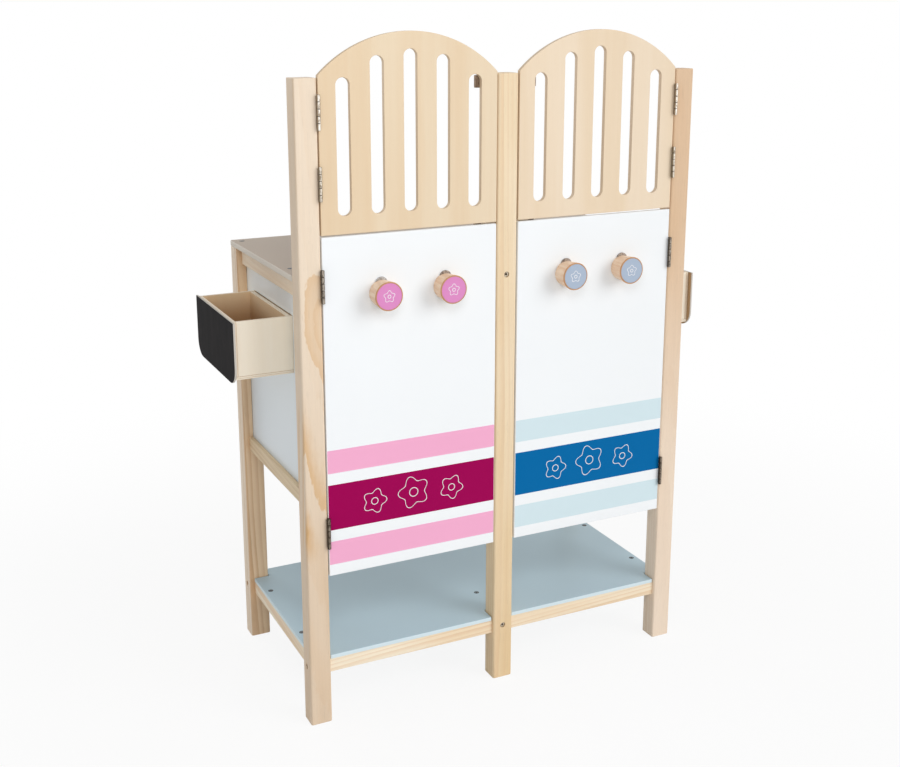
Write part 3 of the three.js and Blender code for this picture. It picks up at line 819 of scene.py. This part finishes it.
# The rear posts' pine is lighter than the front posts': partly the wood's own tone and partly painted light,
# for the stronger light on their sides.
REAR_POST_COLOURS = (srgb(246, 231, 211), srgb(206, 166, 122), srgb(228, 200, 166))
POST_COLOURS = {
    "front_left_post": (srgb(235, 217, 195), srgb(205, 148, 50), srgb(212, 186, 156)),
    "front_centre_post": (srgb(241, 222, 192), srgb(210, 164, 110), srgb(226, 196, 150)),
    "front_right_post": (srgb(238, 219, 198), srgb(212, 168, 124), srgb(219, 186, 151)),
    "rear_left_post": REAR_POST_COLOURS,
    "rear_right_post": REAR_POST_COLOURS,
}
# Painted shade: the rear posts' front faces are painted darker all over, and the front left post's left side
# toward its top.
REAR_POST_PAINTED_SHADE = ("Y", (0.88, 0.75, 0.61), -PAINTED_SHADE_FADE)
POST_PAINTED_SHADES = {
    "front_left_post": ("X", (0.93, 0.88, 0.81), 0.55),
    "rear_left_post": REAR_POST_PAINTED_SHADE,
    "rear_right_post": REAR_POST_PAINTED_SHADE,
}

# Where each post is bolted: which face, and the height in mm
POST_BOLTS = {
    "front_centre_post": [((0, -1, 0), 654.5), ((0, -1, 0), 90.2)],
    "front_left_post": [((-1, 0, 0), 90.4)],
    "front_right_post": [((1, 0, 0), 90.4)],
    "rear_left_post": [((-1, 0, 0), 90.8)],
    "rear_right_post": [((1, 0, 0), 90.8)],
}


def bolt_seat(post, facing, height):
    """The point on a post's face where a bolt sits."""
    low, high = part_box(post)
    middle = (low + high) / 2
    half = (high - low) / 2
    return Vector((middle.x + facing[0] * half.x, middle.y + facing[1] * half.y, height * MM))


def add_bolt(name, seat, facing):
    """A bolt head with a hexagon socket, sunk a little in its bore, and dark discs at the ends of socket and
    bore as painted shadow.
    """
    out = Vector(facing)
    head_top = seat - out * BOLT_SINK
    head_length = BOLT_BORE_DEPTH - BOLT_SINK
    head, socket, shadow_discs = bmesh.new(), bmesh.new(), bmesh.new()
    rod(head, head_top - out * head_length / 2, BOLT_RADIUS, head_length, out, segments=32)
    rod(socket, head_top, SOCKET_RADIUS, 2 * SOCKET_DEPTH, out, segments=6)
    head = cut_away(head, socket)
    ease(head, BOLT_EDGE)
    new_piece(name, head, FRAME_BODY, BOLT_METAL)
    # Painted shadow at the ends of the bore and the socket.
    bore_end = seat - out * (BOLT_BORE_DEPTH - SHADOW_DISC_THICKNESS / 2)
    socket_end = head_top - out * (SOCKET_DEPTH - SHADOW_DISC_THICKNESS / 2)
    rod(shadow_discs, bore_end, BOLT_BORE_RADIUS - SHADOW_DISC_CLEARANCE, SHADOW_DISC_THICKNESS, out, segments=32)
    rod(shadow_discs, socket_end, SOCKET_SHADOW_SHARE * SOCKET_RADIUS, SHADOW_DISC_THICKNESS, out)
    new_piece(name + "_painted_shadow", shadow_discs, FRAME_BODY, PAINTED_SHADOW_FINISH)


def build_posts():
    for post, (pith, *figure) in POST_FIGURES.items():
        name = "Pine " + post.replace("_", " ")
        # Posts that have painted shade get it here.
        shade = POST_PAINTED_SHADES.get(post)
        finish = pine(name, node_centre(post), "z", pith, POST_COLOURS[post], *figure, painted_shade=shade)
        bolts = [(bolt_seat(post, facing, height), facing) for facing, height in POST_BOLTS[post]]
        body = merged_copy(post)
        ease(body, POST_END_EDGE, segments=3, angle=POST_SHARP_EDGE)
        bores = bmesh.new()
        for seat, facing in bolts:
            rod(bores, seat, BOLT_BORE_RADIUS, 2 * BOLT_BORE_DEPTH, facing, segments=32)
        new_piece(post + "_timber", cut_away(body, bores), FRAME_BODY, finish, (post,))
        for index, bolt in enumerate(bolts):
            add_bolt(f"{post}_bolt_{index + 1}", *bolt)


# Rails, panels, shelf and counter

# Which way each rail's grain runs, with its pith offset in mm along the other two axes and its slice
RAIL_GRAIN = {
    "counter_centre_rail": ("y", (52, 44, 0.4)),
    "shelf_rear_rail": ("x", (33, -15, 0.9)),
    "shelf_centre_rail": ("y", (83, 24, 1.3)),
    "shelf_front_rail_left": ("x", (58, 19, 1.8)),
    "shelf_front_rail_right": ("x", (64, 30, 2.3)),
    "shelf_side_rail_left": ("y", (125, 98, 2.7)),
    "shelf_side_rail_right": ("y", (49, 111, 3.1)),
    "upper_side_rail_left": ("y", (160, 126, 3.6)),
    "upper_side_rail_right": ("y", (71, 143, 4.1)),
    "lower_side_rail_left": ("y", (184, 150, 4.6)),
    "lower_side_rail_right": ("y", (110, 171, 5.2)),
}
RAIL_LEAN = (0.030, 0.034, 0)

# The rails' colours and the strength of their rings: the side rails, and all others as the front ones
RAIL_TONES = {
    "front": ((srgb(247, 233, 209), srgb(218, 172, 120), srgb(236, 205, 163)), 0.5),
    "upper": ((srgb(249, 231, 206), srgb(228, 197, 158), srgb(241, 214, 178)), 0.4),
    "lower": ((srgb(226, 205, 171), srgb(174, 134, 88), srgb(208, 177, 133)), 0.8),
}
DRAWER_TOP_CLEARANCE = 2 * MM
CLOSER_FIT = 1.2 * MM
SCREW_HEAD = (2.9 * MM, 0.25 * MM, 1 * MM)
SCREW_SOCKET_RADIUS = 1.7 * MM
SCREW_SOCKET_DEPTH = 0.7 * MM
# Painted shadow round a screw head: a thin dark ring standing for the shade in its countersunk hole.
SCREW_SHADOW_RING = (4.1 * MM, 0.08 * MM, 0.6 * MM)

# Screws in mm from the barn's middle, on both sides of it, and from the posts' front. One that is nearer
# to the middle than this reach stands there alone.
SHELF_SCREWS = ((301.5, 89), (301.5, 243), (0.7, 90))
COUNTER_SCREWS = ((306, 76.4), (306, 312.4))
POSTS_FRONT = -150
MIDDLE_REACH = 1


def add_screw(name, x, y, top):
    """A flat screw head with a six-sided recess, just proud of the board, and a dark ring round it as the
    painted shadow of its hole.
    """
    head, socket, hole = bmesh.new(), bmesh.new(), bmesh.new()
    stud(head, x, y, top, SCREW_HEAD, segments=28)
    rod(socket, (x, y, top), SCREW_SOCKET_RADIUS, 2 * SCREW_SOCKET_DEPTH, segments=6)
    new_piece(name, cut_away(head, socket), FRAME_BODY, SCREW_METAL)
    # Painted shadow: a thin dark ring under the head.
    stud(hole, x, y, top, SCREW_SHADOW_RING, segments=32)
    new_piece(name + "_shadow_ring", hole, FRAME_BODY, SCREW_SHADOW)


def build_rails():
    for rail, (along, (across, other, rail_slice)) in RAIL_GRAIN.items():
        colours, strength = RAIL_TONES[next((word for word in ("upper", "lower") if word in rail), "front")]
        name = "Pine " + rail.replace("_", " ")
        pith = (across * MM, other * MM, rail_slice)
        keep_node(rail, pine(name, node_centre(rail), along, pith, colours, RAIL_LEAN, strength=strength))


def build_panels():
    for side in SIDES:
        node = "side_panel_" + side
        panel = merged_copy(node)
        opening_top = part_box(f"drawer_{side}_front_plate")[1].z + DRAWER_TOP_CLEARANCE
        for vertex in panel.verts:
            if abs(vertex.co.z - opening_top) < MERGE_DISTANCE:
                vertex.co.z -= CLOSER_FIT
        ease(panel, FINE_EDGE)
        new_piece("side_panel_board_" + side, panel, FRAME_BODY, PANEL_PAINT, (node,))


def build_boards():
    keep_node("shelf_board", SHELF_PAINT, SHELF_EDGE)
    keep_node("counter_top", COUNTER_PAINT, COUNTER_EDGE)
    shelf_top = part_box("shelf_board")[1].z
    counter_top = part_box("counter_top")[1].z
    for label, spots, top in (("shelf", SHELF_SCREWS, shelf_top), ("counter", COUNTER_SCREWS, counter_top)):
        for index, (x, y) in enumerate(spots):
            for side_name, side in SIDES.items():
                if x < MIDDLE_REACH and side > 0:
                    continue
                name = f"{label}_screw_{side_name}_{index + 1}"
                add_screw(name, side * x * MM, (y + POSTS_FRONT) * MM, top)


# Gates

SLOT_COUNT = 5
SLOT_WIDTH = 20 * MM
SLOT_SIDE_MARGIN = 25 * MM
SLOT_BOTTOM_MARGIN = 25 * MM
SLOT_ARCH_MARGIN = 23.5 * MM
GATE_ARCH_RISE = 56.5 * MM
# The left gate's veneer is a little darker than the right's, as painted shade that offsets the stronger light
# on the left.
GATE_VENEERS = {
    "left": (srgb(233, 215, 187), srgb(227, 202, 168), (0.13, 0.07, 0.4)),
    "right": (srgb(238, 220, 196), srgb(231, 209, 179), (0.57, 0.21, 0.9)),
}
GATE_CORE = srgb(190, 160, 126)
GATE_LAYER = 1.5 * MM
ARCH_STEPS = 256
SLOT_STEPS = 50


def build_gate(side_name):
    """An arched plywood leaf with round-ended slots whose tops follow the arch."""
    node = "gate_" + side_name
    low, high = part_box(node)
    middle = (low + high) / 2
    half = (high.x - low.x) / 2
    thickness = high.y - low.y
    radius = (half ** 2 + GATE_ARCH_RISE ** 2) / (2 * GATE_ARCH_RISE)
    arch_centre = high.z - radius
    leaf, slots = bmesh.new(), bmesh.new()
    outline = bmesh.ops.create_circle(leaf, cap_ends=True, segments=ARCH_STEPS, radius=radius)["verts"]
    bmesh.ops.rotate(leaf, cent=(0, 0, 0), matrix=Matrix.Rotation(math.pi / 2, 3, "X"), verts=outline)
    bmesh.ops.translate(leaf, vec=(middle.x, low.y, arch_centre), verts=outline)
    for corner, outward in ((low, (-1, 0, 0)), (high, (1, 0, 0)), (low, (0, 0, -1))):
        bmesh.ops.bisect_plane(
            leaf, geom=[*leaf.verts, *leaf.edges, *leaf.faces], plane_co=corner, plane_no=outward,
            clear_outer=True, dist=MERGE_DISTANCE,
        )
    thicken(leaf, (0, thickness, 0))
    slot_radius = SLOT_WIDTH / 2
    top_radius = radius - SLOT_ARCH_MARGIN - slot_radius
    pitch = (2 * half - 2 * SLOT_SIDE_MARGIN - SLOT_WIDTH) / (SLOT_COUNT - 1)
    bottom = low.z + SLOT_BOTTOM_MARGIN + slot_radius
    for index in range(SLOT_COUNT):
        x = (index - (SLOT_COUNT - 1) / 2) * pitch
        top = arch_centre + math.sqrt(top_radius ** 2 - x ** 2)
        start = (middle.x + x, middle.y, bottom)
        ring = rod(slots, start, slot_radius, 3 * thickness, TO_THE_BACK, SLOT_STEPS)
        upper = [vertex for vertex in ring if vertex.co.z > bottom]
        bmesh.ops.translate(slots, vec=(0, 0, top - bottom), verts=upper)
    leaf = cut_away(leaf, slots)
    ease(leaf, LEAF_EDGE, segments=3)
    light, dark, offset = GATE_VENEERS[side_name]
    foot = (middle.x, low.y, low.z)
    finish = plywood("Gate plywood " + side_name, foot, "z", "y", GATE_LAYER, offset, light, dark, GATE_CORE)
    new_piece("gate_leaf_" + side_name, leaf, side_name + "_gate", finish, (node,))


# Outline flowers printed on the deep bands and the knobs

PRINT_THICKNESS = 0.12 * MM
PRINT_SINK = 0.05 * MM
PRINT_STEPS = 120
FLOWER_PETALS = 5
FLOWER_DEPTH = 0.30
FLOWER_EYE_SHARE = 0.27
DISC_FLOWER_RADIUS = 8.5 * MM
DISC_FLOWER_TURN = 0.3
DISC_LINE = 0.9 * MM
BAND_LINE = 1.1 * MM

# The flowers of a band: X from the door's middle, height and radius in mm, and turn
BAND_FLOWERS = ((-62, 338, 19, 0.0), (0, 341, 25, 0.6), (62, 338, 19, 1.1))


def print_flower(name, centre, radius, line, turn, body):
    """A flower in outline with a ring in its middle, a thin layer of white on a flat front."""
    flat = bmesh.new()
    angles = [2 * math.pi * step / PRINT_STEPS for step in range(PRINT_STEPS)]
    directions = [Vector((math.cos(angle + turn), 0, math.sin(angle + turn))) for angle in angles]
    petals = [
        radius * (1 - FLOWER_DEPTH / 2 + FLOWER_DEPTH / 2 * math.cos(FLOWER_PETALS * angle))
        for angle in angles
    ]
    for outline in (petals, [radius * FLOWER_EYE_SHARE] * PRINT_STEPS):
        outer, inner = (
            [flat.verts.new(centre + (out + inset) * ray) for ray, out in zip(directions, outline)]
            for inset in (line / 2, -line / 2)
        )
        for step in range(PRINT_STEPS):
            after = (step + 1) % PRINT_STEPS
            flat.faces.new((outer[step], outer[after], inner[after], inner[step]))
    thicken(flat, (0, -PRINT_THICKNESS, 0))
    new_piece(name, flat, body, PRINT_WHITE)


def print_band(side_name):
    low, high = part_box("door_" + side_name)
    middle = (low.x + high.x) / 2
    for index, (x, z, radius, turn) in enumerate(BAND_FLOWERS):
        centre = Vector((middle + x * MM, low.y, z * MM))
        name = f"band_flower_{side_name}_{index + 1}"
        print_flower(name, centre, radius * MM, BAND_LINE, turn, side_name + "_door")


# Knobs

KNOB_FACE_RADIUS = 20.8 * MM
KNOB_BACK_RADIUS = 18.5 * MM
KNOB_BACK_EDGE = 0.8 * MM
KNOB_EDGE = 1.2 * MM
KNOB_EDGE_SHARE = 0.3
KNOB_SOFTENING = 0.35 * MM
KNOB_SHARP_EDGE = math.radians(30)
DISC_RADIUS = 18.9 * MM
DISC_RECESS = 1.0 * MM
DISC_CLEARANCE = 0.1 * MM
DISC_LIFT = 0.05 * MM
DISC_SINK = 0.15 * MM
DISC_EDGE = 0.2 * MM
BACKING_RADIUS = 9 * MM
BACKING_RISE = 14 * MM
BACKING_THICKNESS = 2.5 * MM


def build_knob(side_name, which):
    """A turned knob, the coloured disc in its face with a flower, and the backing that peeps out behind."""
    node = f"door_{side_name}_{which}_knob"
    body = f"{side_name}_door"
    low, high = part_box(node)
    centre = Vector(((low.x + high.x) / 2, high.y, (low.z + high.z) / 2))
    length = high.y - low.y
    recess = length - DISC_RECESS
    slope = KNOB_EDGE_SHARE * KNOB_EDGE
    knob, disc, backing = bmesh.new(), bmesh.new(), bmesh.new()
    turned(knob, [
        (0, 0), (KNOB_BACK_RADIUS - KNOB_BACK_EDGE, 0), (KNOB_BACK_RADIUS, KNOB_BACK_EDGE),
        (KNOB_FACE_RADIUS, length - KNOB_EDGE), (KNOB_FACE_RADIUS - slope, length - slope),
        (KNOB_FACE_RADIUS - KNOB_EDGE, length), (DISC_RADIUS, length), (DISC_RADIUS, recess), (0, recess),
    ], centre)
    ease(knob, KNOB_SOFTENING, angle=KNOB_SHARP_EDGE)
    wood = turned_beech(f"Turned beech {side_name} {which}", low.y)
    new_piece(f"knob_{side_name}_{which}", knob, body, wood, (node,))
    disc_radius = DISC_RADIUS - DISC_CLEARANCE
    disc_low, disc_high = recess + DISC_LIFT, length - DISC_SINK
    turned(disc, [(0, disc_low), (disc_radius, disc_low), (disc_radius, disc_high), (0, disc_high)], centre)
    ease(disc, DISC_EDGE)
    new_piece(f"knob_disc_{side_name}_{which}", disc, body, DISC_FINISHES[side_name])
    face = centre - Vector((0, disc_high - PRINT_SINK, 0))
    flower = f"knob_flower_{side_name}_{which}"
    print_flower(flower, face, DISC_FLOWER_RADIUS, DISC_LINE, DISC_FLOWER_TURN, body)
    middle = centre + Vector((0, -BACKING_THICKNESS / 2, BACKING_RISE))
    rod(backing, middle, BACKING_RADIUS, BACKING_THICKNESS, TO_THE_BACK, segments=40)
    ease(backing, FINE_EDGE)
    finish = BACKING_FINISHES["light" if (side_name, which) == ("left", "outer") else "dark"]
    new_piece(f"knob_backing_{side_name}_{which}", backing, body, finish)


# Hinges

KNUCKLE_RADIUS = 2.7 * MM
CAD_KNUCKLE_RADIUS = 3.0 * MM
HINGE_KNUCKLES = 5
KNUCKLE_GAP = 0.9 * MM
HINGE_EDGE = 0.35 * MM
PLATE_THICKNESS = 0.6 * MM
PLATE_GAP = 0.15 * MM
PLATE_START = 3.3 * MM
PLATE_DEPTHS = {"fixed": 12 * MM, "moving": 7 * MM}
NECK_START = 2.2 * MM
NECK_END = 4.2 * MM
PIN_RADIUS = 2.0 * MM
PIN_SHORTENING = 1 * MM
PIN_HEAD = (2.1 * MM, 0.4 * MM, 1 * MM)


def build_hinge(leaf, side_name, place_name):
    """Two halves of a butt hinge about the pin that the frame's own hinge has."""
    side = SIDES[side_name]
    stem = f"{leaf}_{side_name}_{place_name}_hinge"
    low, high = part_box(stem + "_fixed")
    axis_x = low.x + CAD_KNUCKLE_RADIUS
    axis_y = low.y + CAD_KNUCKLE_RADIUS
    bottom, top = low.z, high.z
    length = (top - bottom - (HINGE_KNUCKLES - 1) * KNUCKLE_GAP) / HINGE_KNUCKLES
    halves = {"fixed": bmesh.new(), "moving": bmesh.new()}
    plates = {
        part: sorted(axis_x + outward * reach for reach in (PLATE_GAP, PLATE_GAP + PLATE_THICKNESS))
        for part, outward in (("fixed", side), ("moving", -side))
    }
    for index in range(HINGE_KNUCKLES):
        part = "moving" if index % 2 else "fixed"
        near, far = plates[part]
        foot = bottom + index * (length + KNUCKLE_GAP)
        rod(halves[part], (axis_x, axis_y, foot + length / 2), KNUCKLE_RADIUS, length, segments=28)
        box(halves[part], (near, axis_y + NECK_START, foot), (far, axis_y + NECK_END, foot + length))
    for part, (near, far) in plates.items():
        plate_back = axis_y + PLATE_START + PLATE_DEPTHS[part]
        box(halves[part], (near, axis_y + PLATE_START, bottom), (far, plate_back, top))
    for end, outward in ((bottom, -1), (top, 1)):
        stud(halves["fixed"], axis_x, axis_y, end, PIN_HEAD, 20, outward)
    # The pin wears the painted shadow finish, so the gaps between the knuckles show dark.
    pin = bmesh.new()
    rod(pin, (axis_x, axis_y, (bottom + top) / 2), PIN_RADIUS, top - bottom - PIN_SHORTENING, segments=20)
    new_piece(stem + "_pin", pin, FRAME_BODY, PAINTED_SHADOW_FINISH)
    for part, half in halves.items():
        ease(half, HINGE_EDGE)
        body = FRAME_BODY if part == "fixed" else f"{side_name}_{leaf}"
        finish = HINGE_METALS[f"{leaf}_{place_name}"]
        new_piece(f"{stem}_{part}_leaf", half, body, finish, (f"{stem}_{part}",))


# Catches

CATCH_WOOD_LENGTH = 22.75 * MM
CATCH_PITH = (30 * MM, 18 * MM, 0.3)
CATCH_SLICE_STEP = 0.2
MAGNET_INSET = Vector((0, 0.3 * MM, 0.8 * MM))


def build_catch(which, side_name):
    """A wooden block on the centre post with a magnet in its end."""
    node = f"{which}_catch_{side_name}"
    side = SIDES[side_name]
    low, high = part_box(node)
    inner, outer = outward_span(node)
    split = inner + CATCH_WOOD_LENGTH
    wood, magnet = bmesh.new(), bmesh.new()
    near, far = on_side(side, inner, split)
    box(wood, (near, low.y, low.z), (far, high.y, high.z))
    ease(wood, BOARD_EDGE)
    pith = (*CATCH_PITH[:2], CATCH_PITH[2] + side * CATCH_SLICE_STEP)
    finish = pine(f"Pine {which} catch {side_name}", node_centre(node), "x", pith, REAR_POST_COLOURS)
    new_piece(node + "_block", wood, FRAME_BODY, finish, (node,))
    near, far = on_side(side, split, outer)
    box(magnet, Vector((near, low.y, low.z)) + MAGNET_INSET, Vector((far, high.y, high.z)) - MAGNET_INSET)
    ease(magnet, WALL_EDGE)
    new_piece(node + "_magnet", magnet, FRAME_BODY, MAGNET_FINISH)


# Drawers

PLATE_CORNER_RADIUS = 25 * MM
PLATE_CORNER_STEPS = 20
DRAWER_LIGHT = srgb(254, 246, 230)
DRAWER_DARK = srgb(248, 235, 213)
DRAWER_CORE = srgb(214, 192, 162)
DRAWER_LAYER = 1.25 * MM
# Painted shade inside a drawer: the colour factor at its floor and at its top, and where in its depth the
# painted shade fades.
DRAWER_PAINTED_SHADE_LOW = (0.50, 0.33, 0.20, 1)
DRAWER_PAINTED_SHADE_HIGH = (1.0, 0.86, 0.68, 1)
PAINTED_SHADE_SHARES = (0.4, 1.1)
DRAWER_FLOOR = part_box("drawer_left_bottom")[1].z
DRAWER_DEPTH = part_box("drawer_left_back_wall")[1].z - DRAWER_FLOOR
BACK_WALL_CLOSER = 2.4 * MM
BATTEN_THICKNESS = 4 * MM
BATTEN_DROP = 14 * MM
BATTEN_RISE = 7.5 * MM
BATTEN_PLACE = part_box("side_panel_right")[0].x - 0.4 * MM

# Each board's grain, the axis of its thickness, which way the drawer's inside lies on a right drawer,
# and where its veneer was cut
DRAWER_BOARDS = {
    "front_wall": ("y", "x", -1, (1.0, 0.03, 0.2)),
    "back_wall": ("y", "x", 1, (0.9, 0.03, 0.2)),
    "near_wall": ("z", "y", 1, (0.9, 0.03, 0.2)),
    "far_wall": ("z", "y", -1, (0.8, 0.03, 0.2)),
    "bottom": ("x", "z", 1, (0.6, 0.03, 0.2)),
}


def build_back_wall(node, side, body, finish):
    """The drawer's back wall, nearer to the panel, and a batten behind the panel that joins the tails."""
    low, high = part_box(node)
    inner, outer = outward_span(node)
    wall, batten = bmesh.new(), bmesh.new()
    near, far = on_side(side, inner - BACK_WALL_CLOSER, outer)
    box(wall, (near, low.y, low.z), (far, high.y, high.z))
    ease(wall, WALL_EDGE)
    new_piece(node + "_board", wall, body, finish, (node,))
    near, far = on_side(side, BATTEN_PLACE, BATTEN_PLACE - BATTEN_THICKNESS)
    box(batten, (near, low.y, high.z - BATTEN_DROP), (far, high.y, high.z + BATTEN_RISE))
    ease(batten, WALL_EDGE)
    new_piece(node + "_batten", batten, body, finish)


def build_front_plate(side_name, body):
    """The black plate with its two lower corners rounded."""
    node = f"drawer_{side_name}_front_plate"
    low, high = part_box(node)
    plate = bmesh.new()
    box(plate, low, high)
    lower_corners = [
        edge for edge in plate.edges
        if all(vertex.co.z < (low.z + high.z) / 2 for vertex in edge.verts)
        and abs(edge.verts[0].co.y - edge.verts[1].co.y) < MERGE_DISTANCE
    ]
    round_edges(plate, lower_corners, PLATE_CORNER_RADIUS, PLATE_CORNER_STEPS)
    ease(plate, FINE_EDGE)
    finish = chalk_board("Chalk board " + side_name, SIDES[side_name])
    new_piece(f"drawer_{side_name}_board", plate, body, finish, (node,))


def build_drawer(side_name):
    side = SIDES[side_name]
    body = side_name + "_drawer"
    for part, (along, through, inside, offset) in DRAWER_BOARDS.items():
        node = f"drawer_{side_name}_{part}"
        name = "Drawer " + side_name + " " + part.replace("_", " ")
        inward = inside * side if through == "x" else inside
        finish = plywood(name, node_centre(node), along, through, DRAWER_LAYER, offset,
                         DRAWER_LIGHT, DRAWER_DARK, DRAWER_CORE, inward)
        if part == "back_wall":
            build_back_wall(node, side, body, finish)
        else:
            keep_node(node, finish, WALL_EDGE)
    build_front_plate(side_name, body)


# Studio


def set_camera():
    lens = FOCAL_LENGTH_PIXELS / PHOTO_WIDTH * SENSOR_WIDTH
    data = adjust(bpy.data.cameras.new("Camera"), sensor_width=SENSOR_WIDTH, lens=lens, shift_y=CAMERA_SHIFT)
    camera = new_object("Camera", data)
    level = math.cos(CAMERA_ELEVATION)
    forward = Vector((
        -math.sin(CAMERA_AZIMUTH) * level, math.cos(CAMERA_AZIMUTH) * level, -math.sin(CAMERA_ELEVATION),
    ))
    camera.location = CAMERA_PLACE
    camera.rotation_euler = forward.to_track_quat("-Z", "Y").to_euler()
    bpy.context.scene.camera = camera


def add_lamp(name, kind, power, toward):
    """A lamp that shines this way."""
    data = bpy.data.lights.new(name, kind)
    data.energy = power
    lamp = new_object(name, data)
    lamp.rotation_euler = Vector(toward).to_track_quat("-Z", "Y").to_euler()
    return lamp


def seen_directly(tree):
    """1 for what the camera sees straight, in a mirror or through glass."""
    rays = place(tree, "LightPath").outputs
    either = Signal(rays["Is Camera Ray"]) + rays["Is Glossy Ray"]
    return either.maths("ADD", rays["Is Transmission Ray"], use_clamp=True)


def add_white(tree, output, lit, glow, share):
    """Ends a tree with its lit shader, and with plain white for a share of what is seen."""
    white = place(tree, glow, {"Color": WHITE, "Strength": 1.0})
    mixed = place(tree, "MixShader", {0: share, 1: lit.outputs[0], 2: white.outputs[0]})
    place(tree, output, {"Surface": mixed.outputs[0]})


def floor_finish():
    """White floor that keeps a light shadow by the object and fades into the white backdrop."""
    material = bpy.data.materials.new("White floor")
    tree = clear_tree(material)
    lit = place(tree, "BsdfDiffuse", {"Color": FLOOR_COLOUR})
    spot = Signal(place(tree, "TexCoord").outputs["Object"])
    shadow = spot.length().ramp(*FLOOR_FADE, FLOOR_SHADOW_SHARE, 0.0)
    add_white(tree, "OutputMaterial", lit, "Emission", seen_directly(tree) * (1.0 - shadow))
    return material


def build_studio():
    world = bpy.data.worlds.new("Studio")
    bpy.context.scene.world = world
    tree = clear_tree(world)
    lit = place(tree, "Background", {"Color": WHITE, "Strength": SKY_LIGHT})
    add_white(tree, "OutputWorld", lit, "Background", seen_directly(tree))
    sun = add_lamp("Key light", "SUN", KEY_LIGHT, -Vector(KEY_DIRECTION))
    sun.data.angle = LIGHT_SPREAD
    for name, (power, stand, aim) in PANEL_LIGHTS.items():
        lamp = add_lamp(name, "AREA", power, Vector(aim) - Vector(stand))
        lamp.data.size = PANEL_LIGHT_SIZE
        lamp.location = stand
        lamp.visible_camera = False
    floor = bmesh.new()
    bmesh.ops.create_circle(floor, cap_ends=True, segments=64, radius=FLOOR_RADIUS)
    mesh = bpy.data.meshes.new("Floor")
    floor.to_mesh(mesh)
    floor.free()
    plane = new_object("Floor", mesh)
    mesh.materials.append(floor_finish())


bpy.context.scene.view_settings.view_transform = "Standard"
set_camera()
build_studio()
build_posts()
build_rails()
build_panels()
build_boards()
for side_name in SIDES:
    door_finish = striped_door("Striped door " + side_name, *STRIPE_PAINTS[side_name])
    keep_node("door_" + side_name, door_finish, DOOR_EDGE)
    print_band(side_name)
    build_gate(side_name)
    for which in ("outer", "inner"):
        build_knob(side_name, which)
    for leaf in ("gate", "door"):
        for place_name in ("upper", "lower"):
            build_hinge(leaf, side_name, place_name)
    for which in ("upper", "lower"):
        build_catch(which, side_name)
    build_drawer(side_name)
